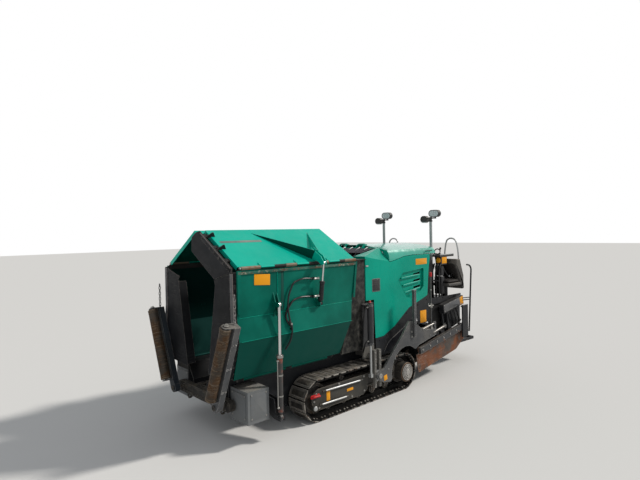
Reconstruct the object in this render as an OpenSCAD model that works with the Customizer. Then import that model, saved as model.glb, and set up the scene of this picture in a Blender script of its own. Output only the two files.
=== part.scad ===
// Small tracked asphalt paver in transport trim.
// Front (the hopper) faces -Y, the machine's left side is +X, up is +Z. Sizes in millimetres.
// Inside each module, y is counted backwards from the hopper's front plane.

/* [Overall] */
// Place of the hopper's front plane
front_y = -2064; // [-2200:1:-1900]
// Half the width of the hopper at its upper hinges
hopper_hw = 700; // [660:1:740]
// Sheet metal thickness of wings and flaps
sheet_t = 8; // [5:1:12]
// Running gap round hinge pins and rods
run_gap = 0.3; // [0.1:0.1:0.5]

/* [Hopper] */
// Length of the hopper along its upper hinges
hopper_len = 1600; // [1500:5:1640]
// Height of the upper hinges
hopper_top_z = 1665; // [1600:1:1720]
// Half the distance between the lower wing hinges
wing_hinge_x = 560; // [540:1:575]
// Height of the lower wing hinges
wing_hinge_z = 610; // [600:1:630]
// Half the width at the crease of the wings
crease_x = 725; // [705:1:740]
// Height of the crease of the wings
crease_z = 1000; // [960:1:1040]
// Half the width at the top of the sloping band
band_x = 692; // [670:1:700]
// Height of the top of the sloping band
band_z = 1210; // [1160:1:1260]
// Depth of a flap from hinge to free edge
flap_w = 690; // [640:1:695]
// Slope of a folded flap
flap_slope = 31; // [27:1:35]
// Radius of the hinge knuckles
knuckle_r = 16; // [14:1:18]
// Radius of the hinge pins
pin_r = 9; // [7:1:10]
// Thickness of the front apron plates
apron_t = 10; // [6:1:12]

/* [Push rollers] */
// Radius of a push roller
roller_r = 53; // [45:1:60]
// Length of a push roller
roller_l = 760; // [700:5:800]
// Lean of a folded roller arm
arm_lean = 22.6; // [18:0.1:26]
// Half the distance between the roller arm pivots
arm_pivot_x = 420; // [400:1:440]
// Height of the roller arm pivots
arm_pivot_z = 360; // [350:1:370]

/* [Tracks] */
// Outer face of a track from the middle of the machine
track_x = 700; // [690:1:705]
// Width of a track shoe
track_w = 250; // [220:1:260]
// Outer radius of a track round its wheels
track_r = 225; // [215:1:230]
// Place of the idler wheel's axle
idler_s = 990; // [970:5:1040]
// Place of the drive wheel's axle
drive_s = 2420; // [2390:5:2440]
// Number of shoes on a track
shoe_n = 36; // [30:1:40]
// Thickness of a track shoe
shoe_t = 28; // [20:1:32]
// Depth of the track chain
chain_t = 38; // [30:1:42]

/* [Engine hood] */
// Half the width of the hood
hood_hw = 615; // [590:1:630]
// Height of the hood's crown
hood_top_z = 1805; // [1780:1:1840]
// Corner radius of the hood's shoulders
hood_corner_r = 170; // [120:5:200]
// Front face of the hood
hood_s = 1820; // [1800:5:1840]
// Rear face of the hood's sides
hood_rear_s = 3120; // [3090:5:3140]
// Thickness of the hood's panels
hood_t = 4; // [3:1:6]
// Front edge of the hood lid
lid_s = 2264; // [2240:1:2300]
// Height of the seam under the hood lid
lid_z = 1666; // [1650:1:1680]

/* [Screed] */
// Place of the tow points
tow_s = 1875; // [1870:1:1880]
// Height of the tow points at rest
tow_z = 300; // [290:1:310]
// Tilt of the raised screed
screed_tilt = 9.5; // [8:0.5:10]
// Half the width of the middle screed
screed_hw = 600; // [560:5:620]
// Depth of the screed's sole below the tow points, when level
sole_w = 290; // [280:1:290]
// Front edge of the middle screed behind the tow points
screed_u = 1070; // [1060:5:1090]
// Length of the middle screed's sole
screed_l = 350; // [320:5:360]
// Length of an extension's sole
ext_l = 340; // [300:5:360]
// Inner face of an end plate
end_plate_x = 690; // [680:1:700]
// Inner face of a tow arm
tow_arm_x = 742; // [740:1:745]
// Thickness of a tow arm
tow_arm_t = 25; // [20:1:28]
// Axle of the auger
auger_s = 2785; // [2780:1:2790]
// Height of the auger's axle
auger_z = 270; // [260:1:290]
// Radius of the auger's flights
auger_r = 122; // [100:1:125]

/* [Operator's stand] */
// Height of the deck's upper face
deck_z = 985; // [960:5:1000]
// Half the width of the deck
deck_hw = 590; // [560:5:610]
// Rear edge of the deck
deck_rear_s = 3930; // [3850:10:3960]

/* [Hidden] */
$fn = 48;

// Colours as on the machine
teal = [0.0, 0.55, 0.44];
dark = [0.16, 0.17, 0.18];
mid = [0.40, 0.41, 0.42];
rust = [0.38, 0.27, 0.18];
bright = [0.75, 0.75, 0.74];
rubber = [0.07, 0.07, 0.07];
chrome_grey = [0.85, 0.85, 0.86];

eps = 0.01;

// Shared placing and shaping modules

module place() { translate([0, front_y, 0]) children(); }

module both() {
    children();
    mirror([1, 0, 0]) children();
}

module box(x0, x1, s0, s1, z0, z1) {
    translate([x0, s0, z0]) cube([x1 - x0, s1 - s0, z1 - z0]);
}

module rod_x(x0, x1, s, z, r) {
    translate([x0, s, z]) rotate([0, 90, 0]) cylinder(h = x1 - x0, r = r);
}

module rod_y(x, s0, s1, z, r) {
    translate([x, s0, z]) rotate([-90, 0, 0]) cylinder(h = s1 - s0, r = r);
}

module rod_z(x, s, z0, z1, r) {
    translate([x, s, z0]) cylinder(h = z1 - z0, r = r);
}

// A straight rod between two points
module rod_between(p, q, r) {
    v = q - p;
    l = norm(v);
    translate(p) rotate([0, acos(v[2] / l), atan2(v[1], v[0])]) cylinder(h = l, r = r);
}

// A profile of (s, z) points, extruded along X from x to x + t
module plate_x(x, t, pts) {
    translate([x, 0, 0]) rotate([90, 0, 90]) linear_extrude(t) polygon(pts);
}

// A profile of (x, z) points, extruded along Y from s to s + t
module plate_y(s, t, pts) {
    translate([0, s + t, 0]) rotate([90, 0, 0]) linear_extrude(t) polygon(pts);
}

function unit(v) = v / norm(v);

// The half space on the outer side of the plane through three points, drawn back by d
module beyond(a, b, c, d) {
    n = unit(cross(b - a, c - a));
    u = unit(b - a);
    v = cross(n, u);
    multmatrix([
        [u[0], v[0], n[0], a[0]], [u[1], v[1], n[1], a[1]], [u[2], v[2], n[2], a[2]]
    ]) translate([-1000, -1000, -d]) cube([2000, 2000, 400]);
}

// A corner of a path as a parabola that starts and ends at the distance cut from it
function corner(p, q, s, cut) = let (a = q + unit(p - q) * cut, b = q + unit(s - q) * cut)
    [for (t = [0:0.25:1]) a * (1 - t) * (1 - t) + q * 2 * t * (1 - t) + b * t * t];

function rounded(pts, cut) = concat(
    [pts[0]],
    [for (i = [1:len(pts) - 2]) each corner(pts[i - 1], pts[i], pts[i + 1], cut)],
    [pts[len(pts) - 1]]
);

// A round tube of radius r along a path, with n sides
module bent_tube(pts, r, cut, n = 10) {
    path = rounded(pts, cut);
    last = len(path) - 1;
    ref = unit([0.31, 0.87, 0.39]);
    rings = [for (i = [0:last]) let (
        t = unit(path[min(i + 1, last)] - path[max(i - 1, 0)]),
        a = unit(cross(t, ref)),
        b = cross(t, a)
    ) each [for (k = [0:n - 1]) path[i] + r * (a * cos(360 * k / n) + b * sin(360 * k / n))]];
    polyhedron(rings, concat(
        [[for (k = [0:n - 1]) k]],
        [for (i = [0:last - 1], k = [0:n - 1]) let (m = (k + 1) % n) each [
            [i * n + k, (i + 1) * n + k, i * n + m],
            [i * n + m, (i + 1) * n + k, (i + 1) * n + m]
        ]],
        [[for (k = [n - 1:-1:0]) last * n + k]]
    ));
}

// Chassis

frame_x = 395;
foot_pin_r = 15;
frame_t = 15;
frame_pts = [
    [66, 310], [620, 310], [760, 150], [2560, 150], [2640, 260], [2640, 560],
    [3060, 860], [3060, 950], [2560, 950], [2440, 640], [1500, 590], [66, 590]
];

module main_frame() color(dark) place() {
    box(-frame_x, frame_x, 780, 2540, 150, 160);
    box(-frame_x, frame_x, 1660, 2620, 600, 608);
    for (s = [800, 1500, 2300]) box(-frame_x, frame_x, s, s + 20, 160, 361);
}

module side_frames() color(dark) place() both() {
    plate_x(frame_x, frame_t, frame_pts);
    for (s = [1250, 1950]) box(frame_x + frame_t, 520, s, s + 160, 170, 300);
    for (s = [cyl_s - 30, cyl_s + 20]) plate_y(s, 10, [
        [frame_x, 330], [680, 186], [wing_foot_x + 26, 186], [wing_foot_x + 26, 240], [700, 240], [680, 380], [frame_x, 400]
    ]);
    rod_y(wing_foot_x, cyl_s - 36, cyl_s + 36, wing_foot_z, foot_pin_r);
    plate_x(frame_x, frame_t, [
        [lift_top_s - 60, 940], [lift_top_s + 60, 940], [lift_top_s + 30, 1210], [lift_top_s - 30, 1210]
    ]);
    rod_x(frame_x, lift_x + 26, lift_top_s, lift_top_z, foot_pin_r);
}

module deck_beams() color(dark) place() {
    both() difference() {
        plate_x(310, eye_t, [[3780, deck_z - 94], [3860, deck_z - 94], [3850, deck_z - 160], [3790, deck_z - 160]]);
        rod_x(309, 311 + eye_t, 3820, deck_z - 128, eye_r);
    }
    both() box(300, 340, 2600, deck_rear_s - 60, deck_z - 95, deck_z - 25);
    for (s = [2980, deck_rear_s - 120]) box(-300, 300, s, s + 40, deck_z - 95, deck_z - 45);
    both() box(340, frame_x, 2600, 2640, deck_z - 95, deck_z - 45);
}

// Lashing eyes
eye_x = 320;
eye_t = 20;
eye_r = 14;

module front_beam() color(mid) place() {
    difference() {
        union() {
            box(-470, 470, 5, 66, 300, 410);
            both() rod_y(470, 5, 66, 355, 55);
            both() plate_x(eye_x, eye_t, [[20, 301], [66, 301], [66, 262], [56, 240], [30, 240], [20, 262]]);
        }
        box(-400, 400, 5 - eps, 15, 320, 390);
        both() rod_x(eye_x - 1, eye_x + eye_t + 1, 43, 266, eye_r);
    }
    both() rod_y(arm_pivot_x, -106, 6, arm_pivot_z, 16);
    both() rod_y(arm_pivot_x, -112, -106, arm_pivot_z, 26);
}

floor_front_s = 66;
floor_rear_s = 1372;
hinge_knuckles = [[66, 130], [640, 710], [1220, 1290]];

module hopper_floor() color(dark) place() {
    both() plate_y(floor_front_s, floor_rear_s - floor_front_s, [
        [wing_hinge_x - 26, wing_hinge_z - 4], [wing_hinge_x - 26, wing_hinge_z - 14],
        [frame_x, 592], [290, 440], [290, 395], [280, 395], [280, 446], [frame_x - 8, 606]
    ]);
    both() for (k = hinge_knuckles) {
        rod_y(wing_hinge_x, k[0], k[1], wing_hinge_z, knuckle_r + 2);
        box(wing_hinge_x - 40, wing_hinge_x - 4, k[0], k[1], wing_hinge_z - 16, wing_hinge_z - 6);
    }
    both() rod_y(wing_hinge_x, 60, 1290, wing_hinge_z, pin_r);
    both() box(260, 290, floor_front_s, 2620, 385, 395);
    box(-280, 280, floor_front_s, 2620, 362, 370);
    both() box(280, 290, floor_front_s, 2620, 362, 385);
    plate_y(floor_front_s, 2550, [[-6, 368], [-6, 432], [-30, 432], [0, 480], [30, 432], [6, 432], [6, 368]]);
}

bar_pitch = 110;

module conveyor() color(mid) place() {
    both() for (x = [60, 240]) box(x - 12, x + 12, 80, 2600, 370, 392);
    both() for (s = [90:bar_pitch:2560]) box(48, 252, s, s + 22, 392, 404);
    both() for (s = [90, 2560]) rod_x(48, 258, s, 382, 9);
}

// Tracks

wheel_z = track_r;
run_r = track_r - shoe_t;
loop_l = drive_s - idler_s;
loop_len = 2 * loop_l + 2 * PI * run_r;

// A point of the loop at the distance d along it and the height h over the chain
function loop_pt(d, h) =
    let (turn = PI * run_r, r = run_r + h)
    d < loop_l ? [idler_s + d, wheel_z - r]
    : d < loop_l + turn ? let (a = -90 + (d - loop_l) / turn * 180) [drive_s + r * cos(a), wheel_z + r * sin(a)]
    : d < 2 * loop_l + turn ? [drive_s - (d - loop_l - turn), wheel_z + r]
    : let (a = 90 + (d - 2 * loop_l - turn) / turn * 180) [idler_s + r * cos(a), wheel_z + r * sin(a)];

shoe_pitch = loop_len / shoe_n;

module stadium(r) {
    hull_l = drive_s - idler_s;
    translate([idler_s, wheel_z]) circle(r = r);
    translate([drive_s, wheel_z]) circle(r = r);
    translate([idler_s, wheel_z - r]) square([hull_l, 2 * r]);
}

module track() color(dark) {
    mid_x = track_x - track_w / 2;
    translate([mid_x - 45, 0, 0]) rotate([90, 0, 90]) linear_extrude(90) difference() {
        stadium(run_r + 3);
        stadium(run_r - chain_t);
    }
    for (i = [0:shoe_n - 1]) {
        d = i * shoe_pitch;
        plate_x(track_x - track_w, track_w, [
            loop_pt(d + 4, 0), loop_pt(d + shoe_pitch / 2, 0), loop_pt(d + shoe_pitch - 4, 0),
            loop_pt(d + shoe_pitch - 8, shoe_t), loop_pt(d + shoe_pitch / 2, shoe_t), loop_pt(d + 8, shoe_t)
        ]);
    }
}

module track_left() place() track();
module track_right() place() mirror([1, 0, 0]) track();

track_mid_x = track_x - track_w / 2;
wheel_r = run_r - chain_t - run_gap;
roller_low_r = 52;

module track_frame_side() {
    difference() {
        box(520, 640, 1090, 2290, 165, 320);
        box(640 - 20, 640 + eps, 1120, 2260, 185, 300);
    }
    for (s = [1180:240:2260]) {
        rod_x(track_mid_x - 40, track_mid_x + 40, s, wheel_z - wheel_r + roller_low_r, roller_low_r);
        box(track_mid_x - 52, track_mid_x - 42, s - 30, s + 30, 100, 170);
        box(track_mid_x + 42, track_mid_x + 52, s - 30, s + 30, 100, 170);
        rod_x(track_mid_x - 52, track_mid_x + 52, s, wheel_z - wheel_r + roller_low_r, 14);
    }
    for (s = [1400, 2000]) {
        rod_x(track_mid_x - 30, track_mid_x + 30, s, wheel_z + wheel_r - 30, 30);
        box(track_mid_x - 8, track_mid_x + 8, s - 20, s + 20, 318, wheel_z + wheel_r - 32);
    }
    difference() {
        rod_x(track_mid_x - 40, track_mid_x + 40, idler_s, wheel_z, wheel_r);
        rod_x(track_mid_x + 20, track_mid_x + 41, idler_s, wheel_z, wheel_r - 30);
    }
    rod_x(track_mid_x - 60, track_mid_x + 60, idler_s, wheel_z, 35);
    for (x = [track_mid_x - 55, track_mid_x + 45]) box(x, x + 10, idler_s - 20, 1100, wheel_z - 45, wheel_z + 45);
    rod_x(track_mid_x - 30, track_mid_x + 30, drive_s, wheel_z, wheel_r - 12);
    rod_x(track_mid_x - 60, 735, drive_s, wheel_z, 118);
    rod_x(735, 745, drive_s, wheel_z, 100);
    rod_x(745, 755, drive_s, wheel_z, 58);
}

module track_frames() color(dark) place() both() track_frame_side();

cover_pts = concat(
    [for (a = [90:15:270]) [1010 + 112 * cos(a), 222 + 112 * sin(a)]],
    [[1690, 110], [1760, 160], [1760, 334]]
);

module track_covers() color(mid) place() both() {
    plate_x(658, 10, cover_pts);
    rod_between([684, 1040, 302], [684, 1660, 288], 9);
    rod_between([684, 1000, 168], [684, 1420, 160], 9);
    for (p = [[1060, 301], [1640, 288], [1020, 167], [1400, 160]]) rod_x(667, 684, p[0], p[1], 6);
    for (s = [1200, 1600]) box(620, 658, s, s + 40, 220, 260);
}

box_s0 = 85;
box_s1 = 328;
box_z0 = 215;
box_z1 = 520;

module front_boxes() color(mid) place() both() {
    difference() {
        box(frame_x + frame_t, track_x, box_s0, box_s1, box_z0, box_z1);
        box(frame_x + frame_t + 8, track_x - 8, box_s0 + 8, box_s1 - 8, box_z0 + 8, box_z1 - 8);
    }
    box(track_x, track_x + 3, box_s0, box_s0 + 26, box_z0, box_z1);
    box(frame_x + frame_t + 30, track_x - 30, box_s0 - 6, box_s0, box_z0 + 40, box_z1 - 30);
}

// Rear wall of the hopper and the rubber curtain behind it

shield_lean = (hopper_len - 1370) / (hopper_top_z - 640);

module rear_shield() color(rubber) place() {
    z1 = hopper_top_z + 10;
    z0 = 625;
    s0 = 1372 + shield_lean * (z0 - 640);
    s1 = 1372 + shield_lean * (z1 - 640);
    plate_x(-640, 1280, [[s0 + 12, z0], [s0 + 20, z0], [s1 + 20, z1], [s1 + 12, z1]]);
    both() plate_x(600, 8, [[s0 + 30, 610], [hood_s - 10, 610], [hood_s - 10, 1655], [s1 + 30, 1655]]);
    box(-640, 640, s1 + 21, hood_s - 8, 1650, 1656);
    for (z = [700, 1100, 1500]) {
        sz = 1372 + shield_lean * (z - 640) + 20;
        box(-600, 600, sz, sz + 30, z, z + 30);
        if (z == 700) both() box(frame_x, frame_x + frame_t, sz, sz + 30, 590, z);
    }
}

// Hood

crown_r = 2600;

module hood_section(d) {
    hw = hood_hw - d;
    r = hood_corner_r - d;
    top = hood_top_z - d;
    intersection() {
        union() {
            translate([-hw, 300]) square([2 * hw, top - r - 300]);
            translate([-hw + r, 300]) square([2 * (hw - r), top - 300]);
            for (x = [-hw + r, hw - r]) translate([x, top - r]) circle(r = r, $fn = 96);
        }
        translate([0, top - crown_r]) circle(r = crown_r, $fn = 96);
    }
}

// The front shoulders are cut flat, from the front corner to the front edge of the lid
module shoulder_cut(s0, s1, d) both() intersection() {
    beyond([607, 1820, 1685], [613, 2310, 1600], [470, 2250, 1757], d);
    box(200, 900, s0, s1, 1400, 2000);
}

module hood_body(d) {
    difference() {
        translate([0, 3400, 0]) rotate([90, 0, 0]) linear_extrude(3400 - hood_s + 20) hood_section(d);
        shoulder_cut(1700, lid_s, d);
    }
}

hood_side_pts = [
    [hood_s, 1685], [hood_s, 1165], [1964, 1165], [1982, 700], [2131, 705], [2346, 795], [2638, 985],
    [2993, 1088], [3055, 1110], [3085, 1420], [hood_rear_s, 1600], [hood_rear_s, 1900], [lid_s, 1900], [lid_s, 1775]
];
hood_void_pts = [
    [hood_s + hood_t, 1681], [hood_s + hood_t, 200], [hood_rear_s + 50, 200], [hood_rear_s + 50, 1900],
    [lid_s, 1900], [lid_s, 1771]
];

lid_axis_z = hood_top_z + 8;

module hood() color(teal) place() {
    hood_shell();
    both() side_recess();
    both() for (x = [100, 206]) {
        rod_x(x, x + 14, lid_s, lid_axis_z, 8);
        plate_x(x, 14, [[2190, 1752], [lid_s - 10, 1770], [lid_s - 2, lid_axis_z - 6], [lid_s - 2, lid_axis_z + 6], [2240, 1812]]);
    }
    both() rod_x(100, 220, lid_s, lid_axis_z, 5);
    both() box(hood_hw - 20, hood_hw - hood_t + 1, 3000, 3040, lid_z - 20, lid_z - run_gap);
}

module hood_shell() difference() {
    intersection() {
        hood_body(0);
        plate_x(-700, 1400, hood_side_pts);
    }
    intersection() {
        hood_body(hood_t);
        plate_x(-700, 1400, hood_void_pts);
    }
    plate_x(-700, 1400, lid_region(-6));
    box(-520, 520, hood_s - 10, hood_s + 10, 600, 1640);
    plate_x(-tray_hw, 2 * tray_hw, [[hood_s - 50, 1640], [hood_s + 10, 1640], [lid_s - 40, 1740], [lid_s - 40, 1900], [hood_s - 50, 1900]]);
    both() plate_x(hood_hw - 30, 60, recess_pts);
}

// Slanted slats in a shallow recess of each side
recess_pts = [[2440, 1362], [2530, 1446], [2955, 1480], [2975, 1465], [2968, 1236], [2900, 1180], [2680, 1116], [2600, 1130]];
recess_mid = [2700, 1320];

module side_recess() {
    difference() {
        plate_x(hood_hw - 30, 30 - hood_t + 0.5, [for (p = recess_pts) p + unit(p - recess_mid) * 8]);
        plate_x(hood_hw - 26, 30, recess_pts);
        for (i = [0:2]) plate_x(hood_hw - 31, 10, [
            [2780, 1388 - 86 * i], [2925, 1402 - 86 * i], [2925, 1432 - 86 * i], [2780, 1416 - 86 * i]
        ]);
    }
    for (i = [0:2]) plate_x(hood_hw - 28, 24, [
        [2506 + 34 * i, 1364 - 94 * i], [2905, 1388 - 86 * i], [2905, 1402 - 86 * i], [2506 + 34 * i, 1380 - 94 * i]
    ]);
}

lid_rear_s = 3256;

// Side view of the lid, its seam set back by d
function lid_region(d) = [
    [lid_s + d, lid_z - 60 + d], [lid_s + 50, lid_z - 60 + d], [lid_s + 300, lid_z - 10 + d], [lid_s + 500, lid_z + d],
    [d < 0 ? 3400 : lid_rear_s, lid_z + d], [d < 0 ? 3400 : lid_rear_s, 2000], [lid_s + d, 2000]
];

module hood_lid() color(teal) place() {
    difference() {
        intersection() {
            hood_body(0);
            plate_x(-700, 1400, lid_region(0));
        }
        intersection() {
            hood_body(hood_t);
            box(-700, 700, lid_s - 1, lid_rear_s - hood_t, 1500, 2000);
        }
    }
    intersection() {
        hood_body(0);
        shoulder_cut(lid_s, lid_s + hood_t, 0);
    }
    both() difference() {
        union() {
            rod_x(120, 200, lid_s, lid_axis_z, 12);
            box(120, 200, lid_s, lid_s + 60, hood_top_z - 10, lid_axis_z);
        }
        rod_x(119, 201, lid_s, lid_axis_z, 5 + run_gap);
    }
}

fin_n = 6;
tray_hw = 440;

module radiator_grille() color(dark) place() {
    plate_x(-tray_hw, 2 * tray_hw, [
        [hood_s + 4, 1630], [lid_s - 41, 1725], [lid_s - 41, 1733], [hood_s + 4, 1638]
    ]);
    both() plate_x(tray_hw - 8, 8, [[hood_s + 4, 1630], [lid_s - 41, 1725], [lid_s - 41, 1755], [2180, 1748], [hood_s + 4, 1680]]);
    box(-540, 540, hood_s + hood_t, hood_s + 12, 610, 1634);
    for (i = [0:fin_n - 1]) {
        plate_x(130 * i - 329, 8, [[1900, 1655], [2200, 1722], [2200, 1762], [1980, 1712]]);
    }
}

module engine_block() color(mid) place() {
    box(-250, 250, 2050, 2800, 640, 1250);
    box(-180, 180, 2200, 2700, 1250, 1330);
    both() for (s = [2150, 2530]) box(150, 230, s, s + 80, 608, 640);
}

lower_panel_pts = [
    [1990, 470], [1984, 725], [2131, 725], [2346, 815], [2638, 1005], [2993, 1108], [3090, 1125],
    [3108, 1100], [3108, 745], [2850, 745], [2820, 830], [2560, 640], [2420, 480]
];

module lower_panels() color(dark) place() both() {
    plate_x(hood_hw - 12, 8, lower_panel_pts);
    box(frame_x + frame_t, hood_hw - 12, 2300, 2330, 560, 600);
    box(frame_x + frame_t, hood_hw - 12, 3030, 3055, 900, 940);
}

// Operator's stand

mast_x = 430;
mast_s = 3430;
mast_r = 20;

module platform() color(dark) place() {
    box(-deck_hw, deck_hw, 3130, deck_rear_s, deck_z - 25, deck_z);
    box(-deck_hw, deck_hw, 3130, 3136, deck_z, 1100);
    both() difference() {
        union() {
            rod_z(mast_x, mast_s, deck_z, 1500, mast_r + 8);
            rod_z(mast_x, mast_s, deck_z, deck_z + 12, 50);
        }
        rod_z(mast_x, mast_s, deck_z + 3, 1501, mast_r + run_gap);
    }
    for (x = [-deck_hw, deck_hw - 8]) box(x, x + 8, 3136, deck_rear_s, deck_z, deck_z + 60);
    both() box(deck_hw - 38, deck_hw - 30, 3140, 3420, 750, deck_z - 24);
}

// Step behind the screed with its hangers and rails
rear_s = 4339;
step_z = 300;
step_hw = 555;

module rear_step() color(dark) place() {
    both() box(step_hw - 28, step_hw, deck_rear_s, deck_rear_s + 28, step_z, deck_z);
    difference() {
        box(-step_hw, step_hw, deck_rear_s + 28, rear_s, step_z, step_z + 40);
        box(-step_hw + 8, step_hw - 8, deck_rear_s + 36, rear_s - 8, step_z + 8, step_z + 41);
    }
}

console_s = 3470;
console_z = 1600;

module console() color(dark) place() {
    plate_x(90 - deck_hw, 2 * deck_hw - 180, [
        [3160, deck_z], [3330, deck_z], [3330, 1250], [3375, 1400], [3330, 1590], [3290, 1640], [3200, 1640], [3160, 1500]
    ]);
    box(-300, 300, console_s + 10, console_s + 150, deck_z, console_z);
    box(-deck_hw - 10, deck_hw + 10, console_s, console_s + 270, console_z, console_z + 26);
    both() box(mast_x + mast_r + 20, deck_hw + 10, console_s - 75, console_s, console_z, console_z + 26);
    both() box(deck_hw - 90, deck_hw + 5, console_s - 40, console_s + 100, console_z - 110, console_z);
}

seat_x = 530;
hoop_s = 3790;

module seat() {
    rod_z(seat_x - 30, 3660, deck_z, 1190, 38);
    box(seat_x - 95, seat_x + 35, 3600, 3720, deck_z, deck_z + 12);
    box(seat_x - 150, seat_x + 150, 3480, 3800, 1180, 1225);
    box(seat_x - 140, seat_x + 140, 3485, 3795, 1225, 1290);
    plate_x(seat_x - 150, 300, [
        [3790, 1180], [3790, 1270], [3655, 1490], [3690, 1560], [3790, 1560], [3880, 1320], [3880, 1120], [3850, 1120], [3850, 1180]
    ]);
    bent_tube([
        [seat_x - 115, hoop_s, 1400], [seat_x - 55, hoop_s, 1850], [seat_x + 55, hoop_s, 1850], [seat_x + 125, hoop_s, 1400]
    ], 11, 50);
}

module seat_left() color(dark) place() seat();
module seat_right() color(dark) place() mirror([1, 0, 0]) seat();

// Tow points

guide_x0 = 690;
guide_x1 = 735;

module tow_guides() color(mid) place() both() {
    for (p = [[1819.7, 30], [1900.3, 34]]) box(guide_x0 + 12, guide_x1, p[0], p[0] + p[1], 165, 600);
    box(guide_x0 + 2, guide_x0 + 12, 1819.7, 1934.3, 470, 600);
    box(612, guide_x0 + 2, 1830, 1930, 500, 560);
    box(frame_x + frame_t, 620, 1840, 1900, 500, 560);
    difference() {
        union() {
            rod_z(716, 1775, 670, 1140, 34);
            rod_z(716, 1775, 1140, 1160, 18);
        }
        rod_z(716, 1775, 660, 1120, 13 + run_gap);
    }
    box(612, 632, 1742, 1930, 500, 1140);
    box(632, 690, 1750, 1800, 1080, 1130);
}

module tow_sliders() color(bright) place() both() {
    box(guide_x0 + 11, guide_x1, 1850, 1900, 240, 360);
    rod_x(guide_x1, tow_arm_x + tow_arm_t + 8, tow_s, tow_z, 18);
    rod_x(tow_arm_x + tow_arm_t + 2, tow_arm_x + tow_arm_t + 8, tow_s, tow_z, 28);
    rod_z(716, 1775, 330, 900, 13);
    box(guide_x0, guide_x1 - 2, 1758, 1792, 296, 334);
    box(guide_x0, guide_x0 + 11.7, 1758, 1900, 296, 334);
}

// Screed, drawn level and tilted about the tow points

module tilted() {
    translate([0, tow_s, tow_z]) rotate([screed_tilt, 0, 0]) children();
}

arch_u = 490;
arch_w = -112;
arch_r = 290;
arm_pts = concat(
    [[-42, -30], [-42, 30], [10, 52], [90, 60], [240, 160], [500, 330], [640, 452], [720, 430], [930, 250], [1180, 190], [1180, 110], [790, 100]],
    [for (a = [40:14:180]) [arch_u + arch_r * cos(a), arch_w + arch_r * sin(a)]],
    [[170, -136], [60, -100]]
);

post_s = 2508;

module tow_arms() color(mid) place() both() {
    tilted() tow_arm();
    box(tow_arm_x + tow_arm_t, tow_arm_x + tow_arm_t + 34, post_s, post_s + 40, 655, 1236);
    rod_z(tow_arm_x + 13, 2930, 680, 1400, 9);
    rod_z(tow_arm_x + 13, 2930, 1390, 1425, 14);
}

module tow_arm() {
    difference() {
        plate_x(tow_arm_x, tow_arm_t, arm_pts);
        rod_x(tow_arm_x - 1, tow_arm_x + tow_arm_t + 1, 0, 0, 18 + run_gap);
    }
    box(560, tow_arm_x, 1120, 1180, 90, 180);
    rod_between([tow_arm_x + 13, 880, 262], [tow_arm_x + 13, 1205, 262], 15);
    rod_between([tow_arm_x + 13, 1100, 146], [tow_arm_x + 13, 1430, 150], 15);
    for (p = [[890, 225], [1165, 175]]) box(tow_arm_x + 1, tow_arm_x + 25, p[0], p[0] + 30, p[1], 284);
    box(tow_arm_x + 1, tow_arm_x + 25, 1395, 1425, 125, 175);
}

slide_u = 1446;
slide_w = 30;
slide_r = 16;

module screed() color(dark) place() tilted() {
    u1 = screed_u + screed_l;
    difference() {
        box(-screed_hw, screed_hw, screed_u, u1, -sole_w + 10, -60);
        box(-screed_hw + 30, screed_hw - 30, screed_u + 20, u1 - 20, -sole_w + 20, -50);
    }
    plate_x(-screed_hw, 2 * screed_hw, [[screed_u - 30, -sole_w + 40], [screed_u, -sole_w], [u1, -sole_w], [u1, -sole_w + 10], [screed_u, -sole_w + 10], [screed_u - 24, -sole_w + 44]]);
    box(-screed_hw, screed_hw, screed_u + 40, screed_u + 120, -60, 90);
    box(-672, 672, u1 - 100, u1 - 40, -60, 60);
    both() for (x = [lift_x - 29, lift_x + 21]) box(x, x + 8, screed_u + 45, screed_u + 105, 90, 225);
    difference() {
        for (x = [-560, -10, 540]) box(x, x + 20, u1 - 41, slide_u + 28, -58, 58);
        for (w = [-slide_w, slide_w]) rod_x(-561, 561, slide_u, w, slide_r + run_gap);
    }
}

// Control box over the end of an extension, with the post and the rail behind it
module side_box() {
    tilted() difference() {
        box(607, 680, 1540, 2055, 270, 395);
        box(615, 672, 1548, 2047, 260, 387);
    }
    tilted() box(622, 662, 1632, 1690, 40, 388);
    tilted() box(615, 640, 1549, 1569, 120, 388);
    tilted() box(615, 640, 1549, 1640, 100, 122);
    box(end_plate_x + 50.3, end_plate_x + 68, 3700, 3840, 450, 905);
    box(672, end_plate_x + 60, 3790, 3810, 860, 880);
    rod_between([720, 3836, 520], [720, 3934, 520], 10);
    bent_tube([[720, 3930, 500], [720, 4008, 1425], [708, 3960, 1468], [704, 3915, 1466]], 12, 40);
    for (z = [960, 990]) rod_between([676, 3820, z], [720, 3964, z], 7);
}

module side_box_left() color(mid) place() side_box();
module side_box_right() color(mid) place() mirror([1, 0, 0]) side_box();

module extension(w) {
    u0 = screed_u + screed_l + 20;
    u1 = u0 + ext_l;
    difference() {
        box(4, 680, u0 + 20, u1, -sole_w + 10, -80);
        box(30, 650, u0 + 50, u1 - 30, -sole_w + 20, -70);
    }
    box(4, 680, u0, u1, -sole_w, -sole_w + 10);
    box(20, 670, u0 + 180, u0 + 260, -80, 40);
    box(680, end_plate_x, u0, u1, -sole_w + 20, -40);
    rod_x(-562, 670, slide_u, w, slide_r);
    box(640, 680, slide_u - 22, u0 + 60, -82, 60);
}

module extension_left() color(dark) place() tilted() extension(slide_w);
module extension_right() color(dark) place() tilted() mirror([1, 0, 0]) extension(-slide_w);

module end_plate() {
    plate_x(end_plate_x, 12, [[800, -280], [830, -sole_w], [1700, -sole_w], [1930, -200], [1930, -50], [800, -50]]);
    box(end_plate_x, end_plate_x + 50, 850, 1910, -50, 30);
}

module end_plate_left() color(rust) place() tilted() end_plate();
module end_plate_right() color(rust) place() tilted() mirror([1, 0, 0]) end_plate();

// Auger

flight_steps = 18;

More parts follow.
